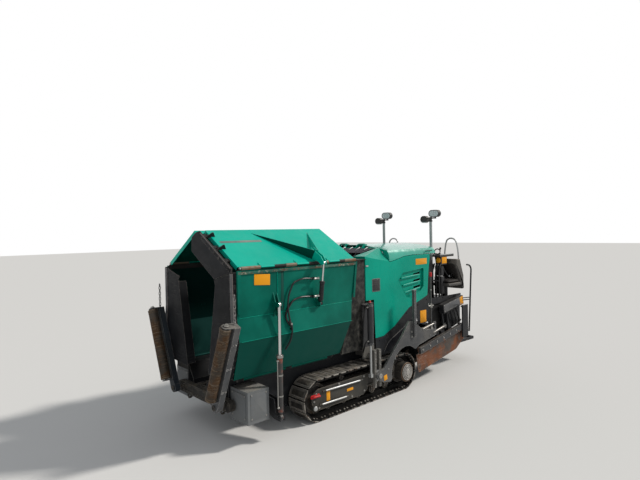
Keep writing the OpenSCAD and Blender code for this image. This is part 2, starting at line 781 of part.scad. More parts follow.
// A helical blade of full turns along +Z, hand is 1 or -1
module flight(len, turns, hand) {
    n = flight_steps * turns;
    ring = [for (i = [0:n]) let (a = hand * 360 * i / flight_steps, z = len * i / n) each [
        [22 * cos(a), 22 * sin(a), z], [auger_r * cos(a), auger_r * sin(a), z],
        [auger_r * cos(a), auger_r * sin(a), z + 12], [22 * cos(a), 22 * sin(a), z + 12]
    ]];
    sides = [for (i = [0:n - 1], k = [0:3]) let (m = (k + 1) % 4) each [
        [4 * i + k, 4 * i + m, 4 * i + 4 + k], [4 * i + m, 4 * i + 4 + m, 4 * i + 4 + k]
    ]];
    caps = [[3, 2, 1, 0], [4 * n, 4 * n + 1, 4 * n + 2, 4 * n + 3]];
    faces = concat(sides, caps);
    polyhedron(ring, hand < 0 ? [for (f = faces) [for (i = [len(f) - 1:-1:0]) f[i]]] : faces);
}

module auger() color(rust) place() translate([0, auger_s, auger_z]) rotate([0, 90, 0]) {
    translate([0, 0, -600]) cylinder(h = 1200, r = 26);
    translate([0, 0, 70]) flight(510, 2, 1);
    translate([0, 0, -592]) flight(510, 2, -1);
}

module auger_drive() color(dark) place() {
    difference() {
        union() {
            box(-45, 45, auger_s - 60, auger_s + 60, auger_z + 20, 560);
            rod_x(-45, 45, auger_s, auger_z, 75);
        }
        rod_x(-46, 46, auger_s, auger_z, 26 + run_gap);
    }
    box(-frame_x, frame_x, 2640, auger_s + 60, 560, 640);
}

// Wings

function inset_x(pts, t) = [for (i = [len(pts) - 1:-1:0]) [pts[i][0] - t, pts[i][1]]];
wing_top_z = hopper_top_z - 22;
wing_outer = [[wing_hinge_x + 56, wing_hinge_z + 26], [crease_x, crease_z], [band_x, band_z], [hopper_hw, wing_top_z]];
wing_knuckles = [[40, 260], [560, 700], [1000, 1140], [1380, 1560]];
flap_knuckles = [[265, 420], [705, 860], [1145, 1300]];
foot_tubes = [[135, 635], [715, 1215]];

module wing() {
    difference() {
        intersection() {
            plate_y(0, hopper_len, concat(wing_outer, inset_x(wing_outer, sheet_t)));
            plate_x(400, 400, [[0, 580], [1352, 580], [1370, 640], [hopper_len, hopper_top_z], [0, hopper_top_z]]);
        }
        box(hopper_hw - 4, crease_x + 40, groove_s, groove_s + 78, band_z + 20, wing_top_z - 25);
        plate_x(hopper_hw - 4, 8, [[groove_s + 78, band_z + 20], [groove_s, band_z + 20], [groove_s, band_z + 90], [groove_s + 78, band_z + 90]]);
    }
    // Frame along the edges of the outer face
    box(hopper_hw - 2, hopper_hw + 10, 0, 40, band_z + 40, wing_top_z);
    box(hopper_hw - 2, hopper_hw + 10, 0, 1560, wing_top_z - 34, wing_top_z - 8);
    plate_x(hopper_hw - 2, 10, [[1508, band_z + 40], [1536, band_z + 40], [1584, wing_top_z - 8], [1556, wing_top_z - 8]]);
    for (k = foot_tubes) difference() {
        union() {
            rod_y(wing_hinge_x, k[0], k[1], wing_hinge_z, knuckle_r + 2);
            plate_y(k[0], k[1] - k[0], [
                [wing_hinge_x, wing_hinge_z + 8], [wing_hinge_x, wing_hinge_z + 17],
                [wing_hinge_x + 50, wing_hinge_z + 36], [wing_hinge_x + 56, wing_hinge_z + 26]
            ]);
        }
        rod_y(wing_hinge_x, k[0] - 1, k[1] + 1, wing_hinge_z, pin_r + run_gap);
    }
    for (k = wing_knuckles) {
        rod_y(hopper_hw, k[0], k[1], hopper_top_z, knuckle_r);
        box(hopper_hw - sheet_t, hopper_hw, k[0], k[1], wing_top_z - 4, hopper_top_z);
    }
    rod_y(hopper_hw, 40, 1560, hopper_top_z, pin_r);
    for (s = [cyl_s - 26, cyl_s + 16]) plate_y(s, 10, [
        [band_x - 4, band_z - 60], [wing_eye_x - 22, wing_eye_z - 22], [wing_eye_x + 24, wing_eye_z - 22],
        [wing_eye_x + 24, wing_eye_z + 24], [wing_eye_x - 22, wing_eye_z + 24], [band_x - 3, band_z + 220]
    ]);
    for (s = [small_s - 24, small_s + 15]) plate_y(s, 9, [
        [band_x, band_z - 8], [small_foot_x - 14, small_foot_z - 20], [small_foot_x + 18, small_foot_z - 14],
        [small_foot_x + 18, small_foot_z + 18], [small_foot_x - 14, small_foot_z + 22], [band_x, band_z + 110]
    ]);
    rod_y(small_foot_x, small_s - 24, small_s + 24, small_foot_z, 8);
}

cyl_s = 430;
wing_foot_x = 745;
wing_foot_z = 214;
wing_eye_x = 752;
wing_eye_z = 1298;
small_s = 985;
small_foot_x = 738;
small_foot_z = 1244;
small_eye_x = 796;
small_eye_z = 1668;

module wing_left() color(teal) place() wing();
module wing_right() color(teal) place() mirror([1, 0, 0]) wing();

groove_s = 462;
apron_s = -34;

function apron_inner(z) = 290 + 0.19 * (z - 1050);

apron_seam = [[360, 1546], [hopper_hw - 14, hopper_top_z - 33]];
apron_edge = [[wing_hinge_x + 30, 640], [crease_x - 6, crease_z], [band_x - 4, band_z], apron_seam[1]];

module apron() {
    plate_y(apron_s, apron_t, concat([[apron_inner(620), 620]], apron_edge, [apron_seam[0], [apron_inner(1500), 1500]]));
    plate_y(apron_s, -apron_s - 0.3, concat(apron_edge, [for (i = [3:-1:0]) apron_edge[i] - [8, 0]]));
    plate_y(apron_s, 90, [
        [apron_inner(640), 640], [apron_inner(640) + 6, 640], [apron_inner(1490) + 6, 1490], [apron_inner(1490), 1490]
    ]);
    for (z = [760, 1100, 1400]) {
        x = z < crease_z ? 600 + (z - 640) * 0.29 : 672;
        box(x - 40, x + 10, apron_s + apron_t, 0, z, z + 60);
        box(x - 40, x + 10, 0, 60, z, z + 60);
    }
    box(668, 690, -24, -14, 1480, 1520);
}

module apron_left() color(dark) place() apron();
module apron_right() color(dark) place() mirror([1, 0, 0]) apron();

hose_r = 9;
hose_routes = [
    [[930, 1505], [760, 1520], [640, 1490], [578, 1370], [566, 1250], [578, 1130], [602, 1040], [590, 930], [540, 840]],
    [[930, 1322], [740, 1335], [640, 1312], [560, 1215], [540, 1160], [560, 1100], [588, 1070]]
];

// Outer face of a folded wing at the height z
function wing_x(z) = lookup(z, [for (p = wing_outer) [p[1], p[0]]]);

module wing_hoses() {
    for (k = [0, 1]) {
        lie = (hose_r + run_gap) * (k == 0 ? 2.6 : 1.4);
        bent_tube([for (p = hose_routes[k]) [wing_x(p[1]) + lie, p[0], p[1]]], hose_r, 40, 8);
    }
    rod_between([wing_x(1110) + 22, 572, 1118], [wing_x(1060) + 22, 594, 1062], 15);
    for (p = [[900, 1508, 24], [900, 1322, 13]]) box(band_x + 10, band_x + 14 + p[2], p[0], p[0] + 30, p[1] - 12, p[1] + 12);
    box(wing_x(1030) + run_gap, wing_x(1030) + 14, 586, 614, 1030, 1050);
}

module wing_hoses_left() color(rubber) place() wing_hoses();
module wing_hoses_right() color(rubber) place() mirror([1, 0, 0]) wing_hoses();

// Flaps, drawn flat: x from the hinge to the free edge, z out of the upper face

module folded_flap() {
    translate([hopper_hw, 0, hopper_top_z]) rotate([0, flap_slope, 0]) mirror([1, 0, 0]) children();
}

flap_edge_x = 22;
gusset_x = 70;
gusset_h = 105;

module flap() {
    folded_flap() {
        box(flap_edge_x, flap_w, 25, 1565, -3, 3);
        box(flap_w - 6, flap_w, 25, 1565, -34, -3);
        box(flap_edge_x + 10, flap_w - 6, 25, 31, -40, -3);
        box(flap_edge_x + 10, flap_w - 6, 1559, 1565, -40, -3);
        for (k = flap_knuckles) {
            difference() {
                union() {
                    rod_y(0, k[0], k[1], 0, knuckle_r);
                    box(4, flap_edge_x + 40, k[0], k[1], 3, 11);
                }
                rod_y(0, k[0] - 1, k[1] + 1, 0, pin_r + run_gap);
            }
        }
        // Two gussets fan out from the lever
        for (g = [[618, 527, -20], [615, 1308, 20]]) {
            dir = atan2(g[1] - small_s - g[2], g[0] - gusset_x);
            translate([gusset_x, small_s + g[2], 3]) rotate([0, 0, dir]) rotate([90, 0, 0]) translate([0, 0, -3])
                linear_extrude(6) polygon([[0, 0], [norm([g[0] - gusset_x, g[1] - small_s - g[2]]), 0], [0, gusset_h]]);
        }
    }
    for (s = [small_s - 24, small_s + 15]) plate_y(s, 9, [
        [small_eye_x - 18, small_eye_z - 18], [small_eye_x + 18, small_eye_z - 18], [small_eye_x + 18, small_eye_z + 18],
        [776, hopper_top_z + 72], [624, hopper_top_z + 160], [596, hopper_top_z + 72], [hopper_hw - 18, hopper_top_z + 22],
        [hopper_hw + 24, hopper_top_z + 26]
    ]);
}

module flap_left() color(teal) place() flap();
module flap_right() color(teal) place() mirror([1, 0, 0]) flap();

module flap_apron_left() color(dark) place() {
    plate_y(apron_s, apron_t, [
        apron_seam[0] + [2, 7], [hopper_hw - 34, hopper_top_z - 31], [hopper_hw - 34, hopper_top_z + 6], [100, hopper_top_z + 352],
        [28, hopper_top_z + 340], [-60, hopper_top_z + 290], [-72, hopper_top_z + 150]
    ]);
    folded_flap() {
        for (x = [150, 380, 600]) box(x, x + 40, apron_s + apron_t - 1, 24.7, -34, -12);
        for (x = [330, 560]) plate_x(x, 6, [
            [apron_s + 2, -6], [24.7, -6], [24.7, 3.3], [70, 3.3], [40, 52], [26, 52], [apron_s + 2, 3.3]
        ]);
    }
}

// Cylinders: a barrel from its foot and a rod with its eye, drawn along +Z and turned into place

module along(p, q) {
    v = q - p;
    translate(p) rotate([0, atan2(v[0], v[2]), 0]) children();
}

module barrel(r, rod_r, len, foot_r, foot_t, hole_r) {
    difference() {
        union() {
            translate([0, 0, 2 * foot_r]) cylinder(h = len - 2 * foot_r, r = r);
            rotate([90, 0, 0]) translate([0, 0, -foot_t / 2]) cylinder(h = foot_t, r = foot_r);
            translate([0, 0, foot_r * 0.7]) cylinder(h = foot_r * 1.4, r = foot_t / 2 - 1.5);
            translate([0, 0, len - 24]) cylinder(h = 24, r = r + 4);
        }
        translate([0, 0, 2.4 * foot_r]) cylinder(h = len, r = rod_r + run_gap);
        rotate([90, 0, 0]) translate([0, 0, -foot_t]) cylinder(h = 2 * foot_t, r = hole_r + run_gap);
    }
}

module rod(rod_r, from, to, eye_r, eye_t) {
    translate([0, 0, from]) cylinder(h = to - from, r = rod_r);
    translate([0, 0, to]) rotate([90, 0, 0]) translate([0, 0, -eye_t / 2]) cylinder(h = eye_t, r = eye_r);
}

wing_cyl_len = norm([wing_eye_x - wing_foot_x, wing_eye_z - wing_foot_z]);
small_cyl_len = norm([small_eye_x - small_foot_x, small_eye_z - small_foot_z]);

module wing_cylinder() {
    along([wing_foot_x, cyl_s, wing_foot_z], [wing_eye_x, cyl_s, wing_eye_z]) barrel(27, 16, 600, 27, 30, foot_pin_r);
}

module wing_rod() {
    along([wing_foot_x, cyl_s, wing_foot_z], [wing_eye_x, cyl_s, wing_eye_z]) rod(16, 330, wing_cyl_len, 24, 22);
}

module flap_cylinder() {
    along([small_foot_x, small_s, small_foot_z], [small_eye_x, small_s, small_eye_z])
        barrel(24, 10, 235, 17, 24, 8);
}

module flap_rod() {
    along([small_foot_x, small_s, small_foot_z], [small_eye_x, small_s, small_eye_z]) rod(10, 140, small_cyl_len, 16, 19);
}

module wing_cylinder_left() color(mid) place() wing_cylinder();
module wing_cylinder_right() color(mid) place() mirror([1, 0, 0]) wing_cylinder();
module wing_rod_left() color(chrome_grey) place() wing_rod();
module wing_rod_right() color(chrome_grey) place() mirror([1, 0, 0]) wing_rod();
module flap_cylinder_left() color(dark) place() flap_cylinder();
module flap_cylinder_right() color(dark) place() mirror([1, 0, 0]) flap_cylinder();
module flap_rod_left() color(chrome_grey) place() flap_rod();
module flap_rod_right() color(chrome_grey) place() mirror([1, 0, 0]) flap_rod();

// Lift cylinders of the screed hang under the hood's rear corners

lift_x = 478.5;
lift_lug_u = 1145;
lift_top_s = tow_s + lift_lug_u - 120;
lift_top_z = 1180;
lift_lug_w = 190;
lift_lug_s = tow_s + lift_lug_u * cos(screed_tilt) - lift_lug_w * sin(screed_tilt);
lift_lug_z = tow_z + lift_lug_u * sin(screed_tilt) + lift_lug_w * cos(screed_tilt);
lift_len = norm([lift_lug_s - lift_top_s, lift_lug_z - lift_top_z]);
lift_turn = atan2(lift_lug_s - lift_top_s, lift_lug_z - lift_top_z);

module lift_axis() {
    translate([lift_x, lift_top_s, lift_top_z]) rotate([-lift_turn, 0, 0]) rotate([0, 0, 90]) children();
}

module lift_cylinders() color(mid) place() both() lift_axis() barrel(34, 16, 330, 29, 30, foot_pin_r);

module lift_rods() color(chrome_grey) place() both() lift_axis() rod(16, 120, lift_len, 26, 30);

// Push roller arms, drawn upright over their pivot

module leaning() {
    translate([arm_pivot_x, 0, arm_pivot_z]) rotate([0, arm_lean, 0]) children();
}

arm_s0 = -100;
arm_s1 = -40;
roller_s = -158;
roller_z0 = 108;
arm_top = roller_z0 + roller_l + 16;

module push_arm() leaning() {
    difference() {
        union() {
            rod_y(0, arm_s0, arm_s1, 0, 46);
            box(-36, 56, arm_s0, arm_s1, 0, arm_top);
        }
        rod_y(0, arm_s0 - 1, arm_s1 + 1, 0, 16 + run_gap);
        box(-30, 50, arm_s0 + 6, arm_s1 - 6, 60, arm_top - 8);
    }
    for (z = [roller_z0 - 16, roller_z0 + roller_l + 8]) difference() {
        union() {
            box(-40, 44, roller_s, arm_s0, z, z + 8);
            rod_z(0, roller_s, z, z + 8, 40);
        }
        rod_z(0, roller_s, z - 1, z + 9, 15 + run_gap);
    }
}

module chain_link() {
    linear_extrude(6, center = true) difference() {
        union() {
            circle(d = 24, $fn = 12);
            translate([0, 18]) circle(d = 24, $fn = 12);
            translate([-12, 0]) square([24, 18]);
        }
        circle(d = 12, $fn = 12);
        translate([0, 18]) circle(d = 12, $fn = 12);
        translate([-6, 0]) square([12, 18]);
    }
}

module push_chain() {
    top = [arm_pivot_x + arm_top * sin(arm_lean), -70, arm_pivot_z + arm_top * cos(arm_lean)];
    for (i = [0:8]) translate(top + [0, 0, 2 + 29.7 * i]) rotate([90, 0, 90 * (i % 2)]) chain_link();
}

module push_arm_left() color(mid) place() { push_arm(); push_chain(); }
module push_arm_right() color(mid) place() mirror([1, 0, 0]) { push_arm(); push_chain(); }

module push_roller() leaning() {
    rod_z(0, roller_s, roller_z0, roller_z0 + roller_l, roller_r);
    rod_z(0, roller_s, roller_z0 - 18, roller_z0 + roller_l + 18, 15);
}

module push_roller_left() color(rust) place() push_roller();
module push_roller_right() color(rust) place() mirror([1, 0, 0]) push_roller();

// Light masts

lamp_t = 60;

module lamp(x, s, z, half_w, half_h, face) {
    translate([x, s, z]) rotate([90, 0, 0]) difference() {
        linear_extrude(lamp_t) lamp_outline(half_w, half_h);
        translate([0, 0, face > 0 ? lamp_t - 6 : -1]) linear_extrude(7) lamp_outline(half_w - 8, half_h - 8);
    }
}

module lamp_outline(half_w, half_h) hull() {
    for (k = [-1, 1]) translate([k * (half_w - half_h), 0]) circle(half_h);
}

module light_mast(x) {
    rod_z(x, mast_s, 1350, 2165, mast_r);
    rod_x(x - 120, x + 90, mast_s, 2150, 9);
    rod_z(x + 76, mast_s, 2140, 2180, 9);
    lamp(x + 76, mast_s + 20, 2213, 84, 50, 1);
    lamp(x - 112, mast_s + 50, 2135, 58, 50, -1);
}

module light_mast_left() color(bright) place() light_mast(mast_x);
module light_mast_right() color(bright) place() light_mast(-mast_x);

main_frame();
side_frames();
deck_beams();
front_beam();
hopper_floor();
conveyor();
track_left();
track_right();
track_frames();
track_covers();
front_boxes();
rear_shield();
hood();
hood_lid();
radiator_grille();
engine_block();
lower_panels();
platform();
rear_step();
console();
seat_left();
seat_right();
tow_guides();
auger_drive();
wing_left();
wing_right();
apron_left();
apron_right();
wing_hoses_left();
wing_hoses_right();
flap_left();
flap_right();
flap_apron_left();
wing_cylinder_left();
wing_cylinder_right();
wing_rod_left();
wing_rod_right();
flap_cylinder_left();
flap_cylinder_right();
flap_rod_left();
flap_rod_right();
push_arm_left();
push_arm_right();
push_roller_left();
push_roller_right();
tow_sliders();
tow_arms();
screed();
side_box_left();
side_box_right();
extension_left();
extension_right();
end_plate_left();
end_plate_right();
auger();
light_mast_left();
light_mast_right();
lift_cylinders();
lift_rods();
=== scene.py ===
import math

import bmesh
import bpy
import numpy as np
from mathutils import Matrix, Vector


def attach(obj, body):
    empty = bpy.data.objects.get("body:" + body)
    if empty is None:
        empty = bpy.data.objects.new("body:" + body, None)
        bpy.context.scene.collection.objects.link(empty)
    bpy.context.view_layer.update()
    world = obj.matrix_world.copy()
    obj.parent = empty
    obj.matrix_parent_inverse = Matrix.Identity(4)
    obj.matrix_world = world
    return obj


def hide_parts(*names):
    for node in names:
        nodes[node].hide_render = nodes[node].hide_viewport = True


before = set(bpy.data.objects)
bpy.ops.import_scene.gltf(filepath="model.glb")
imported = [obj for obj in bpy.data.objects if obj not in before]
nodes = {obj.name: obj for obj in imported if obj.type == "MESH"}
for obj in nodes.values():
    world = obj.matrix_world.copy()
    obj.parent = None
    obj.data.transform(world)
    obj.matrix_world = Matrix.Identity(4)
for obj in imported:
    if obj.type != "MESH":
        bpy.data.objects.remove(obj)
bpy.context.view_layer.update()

scene = bpy.context.scene
frontY = -2.064  # the hopper's front plane; the other measures below count backwards from it
print("frame:", len(nodes), "nodes")


# camera, floor and light

view = {
    "place": (4.384, -4.433, 1.98),
    "yaw": 47.31,      # degrees, turned left from straight along the machine
    "pitch": 0.92,     # degrees below the horizon
    "roll": -1.16,
    "lens": 26.984,    # mm, as the sensor's width
    "sensor": 36.0,
}


def makeCamera(v):
    # the camera's axes from yaw, pitch and roll: forward d, right r, up u, then r and u turned by the roll
    yaw, pitch, roll = (math.radians(v[k]) for k in ("yaw", "pitch", "roll"))
    d = Vector((-math.sin(yaw) * math.cos(pitch), math.cos(yaw) * math.cos(pitch), -math.sin(pitch)))
    r = Vector((math.cos(yaw), math.sin(yaw), 0))
    u = r.cross(d)
    right = r * math.cos(roll) + u * math.sin(roll)
    up = u * math.cos(roll) - r * math.sin(roll)
    data = bpy.data.cameras.new("photoCamera")
    data.lens, data.sensor_width = v["lens"], v["sensor"]
    data.clip_start, data.clip_end = 0.05, 200
    cam = bpy.data.objects.new("photoCamera", data)
    cam.matrix_world = Matrix((
        (right.x, up.x, -d.x, v["place"][0]),
        (right.y, up.y, -d.y, v["place"][1]),
        (right.z, up.z, -d.z, v["place"][2]),
        (0, 0, 0, 1),
    ))
    scene.collection.objects.link(cam)
    scene.camera = cam


makeCamera(view)

studio = {
    "floorColor": (0.74, 0.735, 0.72), "floorHalf": 60.0,
    "worldColor": (0.93, 0.96, 1.0), "worldStrength": 0.40,
    "sun": {"place": (4.2, 6.6, 6.9), "target": (0, 0, 0.8), "energy": 2.7, "color": (1.0, 0.96, 0.90),
            "angle": math.radians(6)},
    "fill": {"place": (2.5, -8.0, 4.5), "target": (0, 0, 0.8), "energy": 30, "color": (0.9, 0.95, 1.0),
             "shape": "DISK", "size": 5.0},
}


def makeLight(name, kind, place, target, **settings):
    # a light that shines from its place towards the target
    data = bpy.data.lights.new(name, kind)
    for key, value in settings.items():
        setattr(data, key, value)
    lamp = bpy.data.objects.new(name, data)
    lamp.location = place
    lamp.rotation_mode = "QUATERNION"
    lamp.rotation_quaternion = (Vector(target) - Vector(place)).to_track_quat("-Z", "Y")
    scene.collection.objects.link(lamp)


makeLight("sunLight", "SUN", **studio["sun"])
makeLight("fillLight", "AREA", **studio["fill"])


# nodes

def linkIn(tree, node, socket, value):
    # a number or colour is set on the socket, and an output is linked to it
    if isinstance(value, bpy.types.NodeSocket):
        tree.links.new(value, node.inputs[socket])
    elif value is not None:
        node.inputs[socket].default_value = value


def addNode(tree, kind, settings=None, **sockets):
    # a node with its settings, and its sockets by name, spaces written as _
    node = tree.nodes.new(kind)
    for key, value in (settings or {}).items():
        setattr(node, key, value)
    for key, value in sockets.items():
        linkIn(tree, node, key.replace("_", " "), value)
    return node


def mathNode(tree, operation, a, b=None, clamp=False):
    # one step of arithmetic on masks or measures
    node = addNode(tree, "ShaderNodeMath", {"operation": operation, "use_clamp": clamp})
    linkIn(tree, node, 0, a)
    if b is not None:
        linkIn(tree, node, 1, b)
    return node.outputs[0]


def rgba(c):
    return (*c, 1.0)


def outputNode(tree, kind, shader):
    # the shader as the surface of the material or the world
    tree.links.new(shader, addNode(tree, kind).inputs["Surface"])


def makeWorld():
    # white to the camera and in reflections, and a softer sky for the light
    world = bpy.data.worlds.new("studioWorld")
    scene.world = world
    world.use_nodes = True
    tree = world.node_tree
    tree.nodes.clear()
    rays = addNode(tree, "ShaderNodeLightPath").outputs
    seenOrGlossy = mathNode(tree, "MAXIMUM", rays["Is Camera Ray"], rays["Is Glossy Ray"])
    mix = addNode(tree, "ShaderNodeMixShader")
    tree.links.new(mathNode(tree, "MAXIMUM", seenOrGlossy, rays["Is Transmission Ray"]), mix.inputs[0])
    for k, color, strength in ((1, studio["worldColor"], studio["worldStrength"]), (2, (1, 1, 1), 1.0)):
        light = addNode(tree, "ShaderNodeBackground", Color=rgba(color), Strength=strength)
        tree.links.new(light.outputs[0], mix.inputs[k])
    outputNode(tree, "ShaderNodeOutputWorld", mix.outputs[0])


makeWorld()
scene.view_settings.view_transform = "Standard"


# shared effects, each a node group

def newGroup(name, inputs, outputs):
    # inputs and outputs are rows of (name, socket kind, start value)
    group = bpy.data.node_groups.new(name, "ShaderNodeTree")
    for label, kind, value in inputs:
        socket = group.interface.new_socket(name=label, in_out="INPUT", socket_type=kind)
        if value is not None:
            socket.default_value = value
    for label, kind in outputs:
        group.interface.new_socket(name=label, in_out="OUTPUT", socket_type=kind)
    return group, group.nodes.new("NodeGroupInput"), group.nodes.new("NodeGroupOutput")


def remap(tree, value, low, high, to0=0.0, to1=1.0):
    # value from low..high to to0..to1, held inside
    node = addNode(tree, "ShaderNodeMapRange", {"interpolation_type": "SMOOTHSTEP"})
    for socket, x in (("Value", value), ("From Min", low), ("From Max", high), ("To Min", to0), ("To Max", to1)):
        linkIn(tree, node, socket, x)
    return node.outputs["Result"]


def noise(tree, vector, scale, detail=4.0, rough=0.55, distort=0.0):
    # a cloudy pattern about 0.5
    node = addNode(tree, "ShaderNodeTexNoise", Scale=scale, Detail=detail, Roughness=rough, Distortion=distort)
    tree.links.new(vector, node.inputs["Vector"])
    return node.outputs["Fac"]


def makeEdgeWearAndPaintedLight():
    # where a rounded normal departs from the true one there is an edge; a noise breaks the edge up. The edge colour
    # is wear, on the teal paints and the flange also a painted highlight, and on the hub's silver a painted shade
    group, inp, out = newGroup("edgeWearAndPaintedLight", [
        ("Place", "NodeSocketVector", None),
        ("Radius", "NodeSocketFloat", 0.006),
        ("Amount", "NodeSocketFloat", 0.5),
        ("Grain", "NodeSocketFloat", 40.0),
    ], [("Mask", "NodeSocketFloat")])
    bevel = addNode(group, "ShaderNodeBevel", {"samples": 4}, Radius=inp.outputs["Radius"])
    geometry = addNode(group, "ShaderNodeNewGeometry")
    dot = addNode(group, "ShaderNodeVectorMath", {"operation": "DOT_PRODUCT"})
    group.links.new(bevel.outputs[0], dot.inputs[0])
    group.links.new(geometry.outputs["Normal"], dot.inputs[1])
    edge = remap(group, dot.outputs["Value"], 0.995, 0.86)
    grain = noise(group, inp.outputs["Place"], inp.outputs["Grain"], 6.0, 0.7)
    level = mathNode(group, "SUBTRACT", 1.0, mathNode(group, "MULTIPLY", inp.outputs["Amount"], 0.62))
    spots = remap(group, grain, mathNode(group, "SUBTRACT", level, 0.08), mathNode(group, "ADD", level, 0.03))
    group.links.new(mathNode(group, "MULTIPLY", edge, spots, True), out.inputs["Mask"])
    return group


def makeDust():
    # settles on faces that look up and in a broad patchy noise
    group, inp, out = newGroup("dust", [
        ("Place", "NodeSocketVector", None),
        ("Amount", "NodeSocketFloat", 0.4),
        ("Up", "NodeSocketFloat", 0.6),
        ("Scale", "NodeSocketFloat", 3.0),
    ], [("Mask", "NodeSocketFloat")])
    geometry = addNode(group, "ShaderNodeNewGeometry")
    split = addNode(group, "ShaderNodeSeparateXYZ")
    group.links.new(geometry.outputs["Normal"], split.inputs[0])
    up = mathNode(group, "MULTIPLY", remap(group, split.outputs["Z"], 0.1, 0.95), inp.outputs["Up"])
    broad = remap(group, noise(group, inp.outputs["Place"], inp.outputs["Scale"], 8.0, 0.62), 0.36, 0.72)
    fine = remap(group, noise(group, inp.outputs["Place"], 90.0, 3.0, 0.7), 0.35, 0.7, 0.55, 1.0)
    base = mathNode(group, "ADD", mathNode(group, "MULTIPLY", broad, inp.outputs["Amount"]),
                    mathNode(group, "MULTIPLY", up, mathNode(group, "ADD", broad, 0.25)), True)
    group.links.new(mathNode(group, "MULTIPLY", base, fine, True), out.inputs["Mask"])
    return group


def makeScratches():
    # thin lines: a noise squeezed hard across one direction, kept only near its middle value
    group, inp, out = newGroup("scratches", [
        ("Place", "NodeSocketVector", None),
        ("Stretch", "NodeSocketVector", (3.0, 3.0, 60.0)),
        ("Amount", "NodeSocketFloat", 0.3),
    ], [("Mask", "NodeSocketFloat")])
    scaled = addNode(group, "ShaderNodeVectorMath", {"operation": "MULTIPLY"})
    group.links.new(inp.outputs["Place"], scaled.inputs[0])
    group.links.new(inp.outputs["Stretch"], scaled.inputs[1])
    lines = noise(group, scaled.outputs[0], 1.0, 5.0, 0.75, 0.6)
    near = mathNode(group, "ABSOLUTE", mathNode(group, "SUBTRACT", lines, 0.5))
    thin = remap(group, near, 0.012, 0.0)
    where = remap(group, noise(group, inp.outputs["Place"], 5.0, 3.0), 0.45, 0.65)
    group.links.new(mathNode(group, "MULTIPLY", mathNode(group, "MULTIPLY", thin, where),
                             inp.outputs["Amount"], True), out.inputs["Mask"])
    return group


def makeMud():
    # thick near the ground, thinning out up to Height, with clods from two noises
    group, inp, out = newGroup("mud", [
        ("Place", "NodeSocketVector", None),
        ("Height", "NodeSocketFloat", 0.5),
        ("Amount", "NodeSocketFloat", 0.5),
    ], [("Mask", "NodeSocketFloat")])
    split = addNode(group, "ShaderNodeSeparateXYZ")
    group.links.new(inp.outputs["Place"], split.inputs[0])
    low = mathNode(group, "SUBTRACT", 1.0, mathNode(group, "DIVIDE", split.outputs["Z"], inp.outputs["Height"]), True)
    clods = noise(group, inp.outputs["Place"], 14.0, 8.0, 0.65)
    level = mathNode(group, "SUBTRACT", 0.78, mathNode(group, "MULTIPLY", mathNode(
        group, "ADD", mathNode(group, "MULTIPLY", low, 0.45), 0.12), inp.outputs["Amount"]))
    group.links.new(remap(group, clods, mathNode(group, "SUBTRACT", level, 0.07),
                          mathNode(group, "ADD", level, 0.07)), out.inputs["Mask"])
    return group


effects = {"edgeWearAndPaintedLight": makeEdgeWearAndPaintedLight(), "dust": makeDust(), "scratches": makeScratches(), "mud": makeMud()}


def useGroup(tree, name, **sockets):
    # the mask of a shared effect, with this material's own values
    node = tree.nodes.new("ShaderNodeGroup")
    node.node_tree = effects[name]
    for key, value in sockets.items():
        linkIn(tree, node, key, value)
    return node.outputs["Mask"]


def mixColor(tree, mask, a, b):
    # colour a, going over to b where the mask is 1
    node = addNode(tree, "ShaderNodeMix", {"data_type": "RGBA"})
    linkIn(tree, node, 0, mask)
    linkIn(tree, node, 6, a)
    linkIn(tree, node, 7, b)
    return node.outputs[2]


def insideMask(tree, place, axis):
    # 1 on faces that look to the middle plane (axis X) or down (axis Z): the mask of painted shade
    at, facing = addNode(tree, "ShaderNodeSeparateXYZ"), addNode(tree, "ShaderNodeSeparateXYZ")
    tree.links.new(place, at.inputs[0])
    tree.links.new(addNode(tree, "ShaderNodeTexCoord").outputs["Normal"], facing.inputs[0])
    away = facing.outputs["Z"]
    if axis == "X":
        away = mathNode(tree, "MULTIPLY", facing.outputs["X"], at.outputs["X"])
    return remap(tree, away, -0.02, -0.12)


def loopShadeMask(tree, place, loop):
    # 1 on the outer faces of a track, 0 deeper in, by the distance from the line between its wheels' middles,
    # which is the root of along squared plus up squared
    # deep in the gaps the mask goes to 0, where the track gets painted shade
    at = addNode(tree, "ShaderNodeSeparateXYZ")
    tree.links.new(place, at.inputs[0])
    along = mathNode(tree, "ABSOLUTE", mathNode(tree, "SUBTRACT", at.outputs["Y"], loop[0]))
    along = mathNode(tree, "MAXIMUM", mathNode(tree, "SUBTRACT", along, loop[1]), 0.0)
    up = mathNode(tree, "SUBTRACT", at.outputs["Z"], loop[2])
    squares = [mathNode(tree, "MULTIPLY", way, way) for way in (along, up)]
    far = mathNode(tree, "SQRT", mathNode(tree, "ADD", *squares))
    return remap(tree, far, loop[3] - 0.0085, loop[3] - 0.002)


